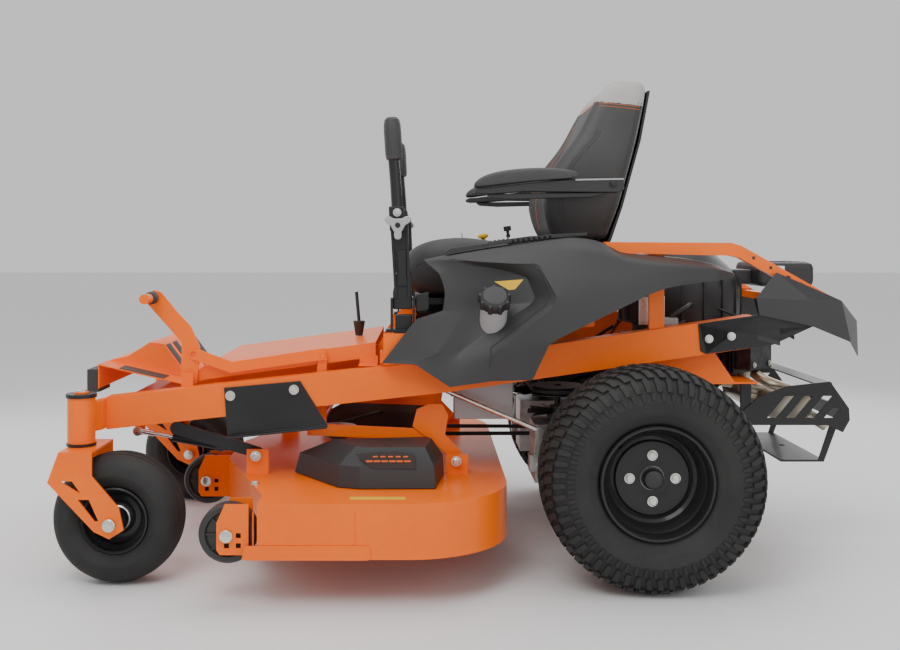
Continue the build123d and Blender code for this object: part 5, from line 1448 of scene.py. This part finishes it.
for name, sign in SIDES.items():
    low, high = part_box("caster_fork_" + name)
    low, high = machine(low), machine(high)
    wheel_low, wheel_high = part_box("caster_wheel_" + name)
    axle = machine((wheel_low + wheel_high) / 2)
    middle_y = (low.y + high.y) / 2
    heads = [dome("fork_dome", (axle.x, high.y - 12, axle.z), 1, 16, 16),
             dome("fork_dome", (axle.x, low.y + 12, axle.z), -1, 16, 16)]
    stem_x, top = axle.x + 100, high.z - 5
    heads.append(tube("cap", [(stem_x, middle_y, top - 8.8), (stem_x, middle_y, top + 0.8)], 38.8,
                      "black_paint", 8, False))
    heads.append(bolt("stem_nut", (stem_x, middle_y, top + 0.8), (0, 0, 1), across=24, height=8, washer=18))
    heads.append(tube("bush", [(stem_x, middle_y, top - 132), (stem_x, middle_y, top - 125)], 37.5,
                      "black_paint", 8, False))
    settle(joined("caster_hardware_" + name, heads), "caster_fork_" + name)
print("caster hardware done")

# %% [markdown]
# ## Anti-scalp wheels
# Moulded rollers with webbed sides keep the deck from gouging the lawn.
# %% Anti-scalp wheels
for name, (x, y) in {"left": (1036, 632), "centre": (1203, 40), "right": (1036, -632)}.items():
    low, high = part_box("antiscalp_wheel_" + name)
    middle = machine((low + high) / 2)
    width, radius = (high.y - low.y) * 500, (high.z - low.z) * 500
    loop = [(9, width), (19, width), (21, width - 7), (50, width - 8), (54, width - 1), (radius - 5, width),
            (radius - 0.5, width - 6), (radius, width * 0.4)]
    loop = loop + [(r, -o) for r, o in reversed(loop)]
    wheel = turned("roller_part", loop, middle, "dark_plastic", steps=72)
    webs = repeated("webs", small_box("web", (20, -width + 3, -2), (52, width - 3, 2), "dark_plastic"),
                    "ring", 8, (0, math.radians(45), 0), middle)
    settle(joined("antiscalp_finished_" + name, [wheel, webs]), "antiscalp_wheel_" + name, "dark_plastic",
           "antiscalp_wheel_" + name)
    domes = [dome("roller_dome", (x, y + sign * 36, middle.z), sign, 15, 12) for sign in (1, -1)]
    settle(joined("roller_bolts_" + name, domes), "deck")
print("rollers done")

# %% [markdown]
# ## Rear guard
# The tail guard is folded from sheet in flat facets that meet at crisp lines. The cage is one strip
# of those facets each side, given a thickness, with the bracket plate behind it.
# %% Rear guard
GUARD = {
    "peak": (-355, 394, 788), "front": (-300, 402, 722), "heel": (-312, 388, 676), "notch": (-445, 396, 714),
    "middle": (-452, 392, 646), "corner": (-528, 388, 714), "sill": (-556, 378, 604), "toe": (-626, 252, 554),
    "tip": (-620, 258, 652), "lip": (-470, 366, 742),
}
GUARD_FACES = ["peak front notch", "front heel middle notch", "notch middle corner", "middle sill corner",
               "sill toe tip corner", "peak notch corner lip"]
for name, sign in SIDES.items():
    keys = sorted(GUARD)
    points = [at(GUARD[k][0], sign * GUARD[k][1], GUARD[k][2]) for k in keys]
    faces = [tuple(keys.index(k) for k in face.split()) for face in GUARD_FACES]
    sheet = cage("guard_sheet", points, faces, "guard_plastic", 10)
    skin = sheet.modifiers.new("gauge", "SOLIDIFY")
    skin.thickness, skin.offset = 0.0032, 0
    rounded(sheet, 1.5, 2, 12)
    bracket = plate("bracket", [(-156, 652), (-318, 676), (-462, 646), (-352, 596), (-176, 572)], sign * 370,
                    sign * 375, "black_paint", 1.5)
    slot = plate("slot", [(-312, 622), (-372, 606), (-372, 594), (-312, 610)], sign * 375, sign * 375.6,
                 "black_plastic", 0.3)
    settle(joined("rear_guard_finished_" + name, [sheet, bracket, slot], "guard_plastic"), "chassis",
           "guard_plastic")
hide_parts("rear_guard")
print("guard done")

# %% [markdown]
# ## Engine
# The engine is a vertical-shaft V-twin. A blower housing covers the flywheel and draws air through a
# round screen. The two cylinders carry cooling fins, and the `row` tree lays those fins along a
# cylinder, because they are one flat plate many times over.
# %% Engine top
ENGINE_X = -183
shroud = spun_z("shroud", [(94, 625), (166, 632), (176, 650), (178, 735), (168, 770), (140, 800), (112, 826),
                           (104, 834), (98, 838), (90, 838), (88, 830)], "engine_plastic")
shroud.data.transform(Matrix.Translation(at(ENGINE_X - 10, 0, 0)))
fin = small_box("fin", (112, -3, 640), (181, 3, 760), "engine_plastic")
fins = repeated("cover_ribs", fin, "ring", 18, (0, 0, math.radians(20)))
fins.data.transform(Matrix.Translation(at(ENGINE_X - 10, 0, 0) - AXLE_MIDDLE))
cleaner = block("cleaner", (-558, -118, 740), (-394, 118, 810), "engine_plastic", 16)
clips = [block("clip", (-470, sign * 119 - 2, 756), (-440, sign * 119 + 1, 800), "zinc_steel", 1)
         for sign in (1, -1)]
ribs = repeated("cleaner_ribs", small_box("rib", (0, -90, 0), (6, 90, 3), "engine_plastic"), "row", 7,
                (0.02, 0, 0), (-540, 0, 808.5))
duct = block("duct", (-396, -58, 746), (-340, 58, 788), "engine_plastic", 6)
top = joined("engine_top", [shroud, fins, cleaner, ribs, duct, *clips], "engine_plastic")
settle(top, "chassis", "engine_plastic", "engine_covers")
rings_of_holes = []
for radius, count in ((14, 8), (26, 14), (38, 20), (50, 26), (62, 32), (72, 38)):
    bar = small_box("hole", (radius, -2.2, 863.0), (radius + 6, 2.2, 863.8), "black_plastic")
    rings_of_holes.append(repeated("holes", bar, "ring", count, (0, 0, 2 * math.pi / count)))
for piece in rings_of_holes:
    piece.data.transform(Matrix.Translation(at(ENGINE_X, 0, 0) - AXLE_MIDDLE))
settle(joined("intake_screen_perforations", rings_of_holes, "black_plastic"), "crankshaft")

# %% [markdown]
# ### Cylinders
# The fins stand across each cylinder's axis, 45 degrees to either side of the rear. Four bolts hold
# the head, and a plug lead runs up to the coil.
# %% Cylinder fins
for name, sign in SIDES.items():
    direction = Vector((-math.cos(math.radians(45)), sign * math.sin(math.radians(45)), 0))
    thin = small_box("thin", (-1.2, -70, -62), (1.2, 70, 62), "engine_casting")
    stack = repeated("cylinder_fins", thin, "row", 11, (0.0105, 0, 0))
    stack.data.transform(Matrix.Translation(-AXLE_MIDDLE))
    turn = Matrix.Rotation(math.atan2(direction.y, direction.x), 4, "Z")
    middle = Vector((ENGINE_X, 0, 560)) + direction * 122
    stack.data.transform(Matrix.Translation(at(*middle)) @ turn)
    head = Vector((ENGINE_X, 0, 560)) + direction * 253
    plug = head + direction * 24
    across = direction.cross(Vector((0, 0, 1)))
    head_bolts = [bolt("head_bolt", tuple(plug + Vector((0, 0, dz)) + across * dy), tuple(direction),
                       across=10, height=5, washer=8) for dy in (-44, 44) for dz in (-34, 34)]
    lead = tube("plug_lead", [tuple(plug + Vector((0, 0, 20))),
                              tuple(plug + direction * 26 + Vector((0, 0, 26))),
                              tuple(plug + Vector((10, 0, 80))), (-240, sign * 150, 690)], 4, "black_plastic")
    settle(joined("cylinder_" + name, [stack, *head_bolts, lead], "engine_casting"), "chassis")
print("engine done")

# %% [markdown]
# ### Hoses
# Fuel and vacuum hoses are clipped to the engine along their whole length, so they are rigid parts
# of it here. Each is a tube through a few points that are mirrored to the other side.
# %% Hoses and carburettor plate
hoses = [
    tube("hose", [(-60, sign * 270, 612), (-90, sign * 300, 660), (-140, sign * 300, 690),
                  (-170, sign * 240, 700), (-180, sign * 200, 690)], 6, "black_plastic") for sign in (1, -1)
] + [
    tube("hose", [(-30, sign * 262, 560), (-60, sign * 290, 610), (-110, sign * 296, 640),
                  (-150, sign * 250, 650)], 4.5, "belt_rubber") for sign in (1, -1)
] + [
    tube("line", [(120, sign * 250, 470), (60, sign * 262, 520), (20, sign * 262, 560),
                  (-40, sign * 240, 600)], 5, "belt_rubber") for sign in (1, -1)
]
settle(joined("hoses", hoses, "black_plastic"), "chassis")
settle(block("fuel_filter", (-120, 286, 640), (-76, 308, 664), "grey_plastic", 6), "chassis")
bracket = plate("carburettor_plate", [(-20, 640), (-92, 640), (-92, 720), (-20, 716)], 262, 266,
                "zinc_steel", 2)
screws = [bolt("screw", (x, 267, z), (0, 1, 0), across=8, height=4, washer=6) for x in (-32, -80)
          for z in (652, 706)]
settle(joined("carburettor_bracket", [bracket, *screws], "zinc_steel"), "chassis")

# %% [markdown]
# ### Silencer pipes
# Bent steel pipes lead from the heads down to the silencer and show the straw tint of heat.
# %% Silencer pipes
PIPES = [
    [(-352, sign * 120, 500), (-352, sign * 124, 470), (-366, sign * 130, 452), (-400, sign * 134, 446),
     (-430, sign * 120, 440)] for sign in (1, -1)
] + [[(-360, sign * 190, 500), (-372, sign * 214, 486), (-410, sign * 226, 470), (-450, sign * 200, 458)]
     for sign in (1, -1)]
settle(joined("exhaust_pipes", [tube("pipe", points, 15, "bare_steel", 5) for points in PIPES]), "chassis")
print("pipes done")

# %% [markdown]
# ## Lids, trim and small hardware
# The console lids have cooling slots cut across them. The remaining small pieces keep their CAD
# outlines, with their edges rounded.
# %% Lids and grips
soften("console_lids", 2.0)
LID_FRONT, LID_REAR = (498, 852), (223, 889)


def lid_top(x):
    return LID_FRONT[1] + (LID_FRONT[0] - x) * (LID_REAR[1] - LID_FRONT[1]) / (LID_FRONT[0] - LID_REAR[0])


vents = []
for name, sign in SIDES.items():
    for x in range(395, 283, -14):
        ends = [(x, sign * 318, lid_top(x) + 1.6), (x - 8, sign * 346, lid_top(x) + 2.4)]
        vents.append(tube("vent", ends, 1.8, "black_plastic", 1, smooth=False))
settle(joined("lid_vents", vents, "black_plastic"), "chassis")
soften("toe_board_trim", 1.0)
soften("clutch_knob", 1.0)
soften("throttle_lever", 0.8)
soften("strut_rod", 0.4)
print("lids done")

# %% [markdown]
# ### Frame details
# Square punched holes show in the hood bars, thin lenses close the front lamps, and a rubber cap
# covers the pedal's cross bar.
# %% Frame details
HOOD_HOLES = [(-300, 826), (-345, 800), (-390, 774)]
squares = [block("square", (x - 4, sign * 381 - 0.4, z - 4), (x + 4, sign * 381 + 0.4, z + 4),
                 "black_plastic", 0.2)
           for x, z in HOOD_HOLES for sign in (1, -1)]
settle(joined("hood_square_holes", squares, "black_plastic"), "chassis")
lamps = [block("lens", (1489.5, sign * 182, 466), (1491, sign * 268, 512), "grey_plastic", 0.4)
         for sign in (1, -1)]
settle(joined("headlamp_lenses", lamps, "grey_plastic"), "chassis")
pedal_cap = turned("pedal_cap", [(0, 0), (15, 0), (17, 3), (17, 30), (13, 35), (0, 36)], (1299, 318, 718),
                   "grip_rubber", steps=40)
settle(pedal_cap, "foot_pedal")
print("frame hardware done")

# %% [markdown]
# ## Belts
# The long belt joins the engine's lower pulley to the three spindle pulleys. The spindles go down
# with the deck and the engine doesn't. Here the long belt is cut out as its own piece and left in place.
# The short belt to the transaxles rides on the chassis and stays level.
# %% Belts


def belt_part(name, wanted):
    """The belts above (True) or below (False) the level that divides them."""
    bm = bmesh.new()
    bm.from_mesh(frame["nodes"]["belts"].data)
    bmesh.ops.remove_doubles(bm, verts=bm.verts, dist=2e-5)
    limit = at(0, 0, 380).z
    bmesh.ops.delete(bm, geom=[v for v in bm.verts if (v.co.z > limit) != wanted], context="VERTS")
    return from_bmesh(name, bm, "belt_rubber", 40)


deck_belt = belt_part("deck_belt", False)
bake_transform(deck_belt)
drive_belt = belt_part("drive_belt", True)
settle(drive_belt, "chassis", "belt_rubber", "belts")
print("hardware done")
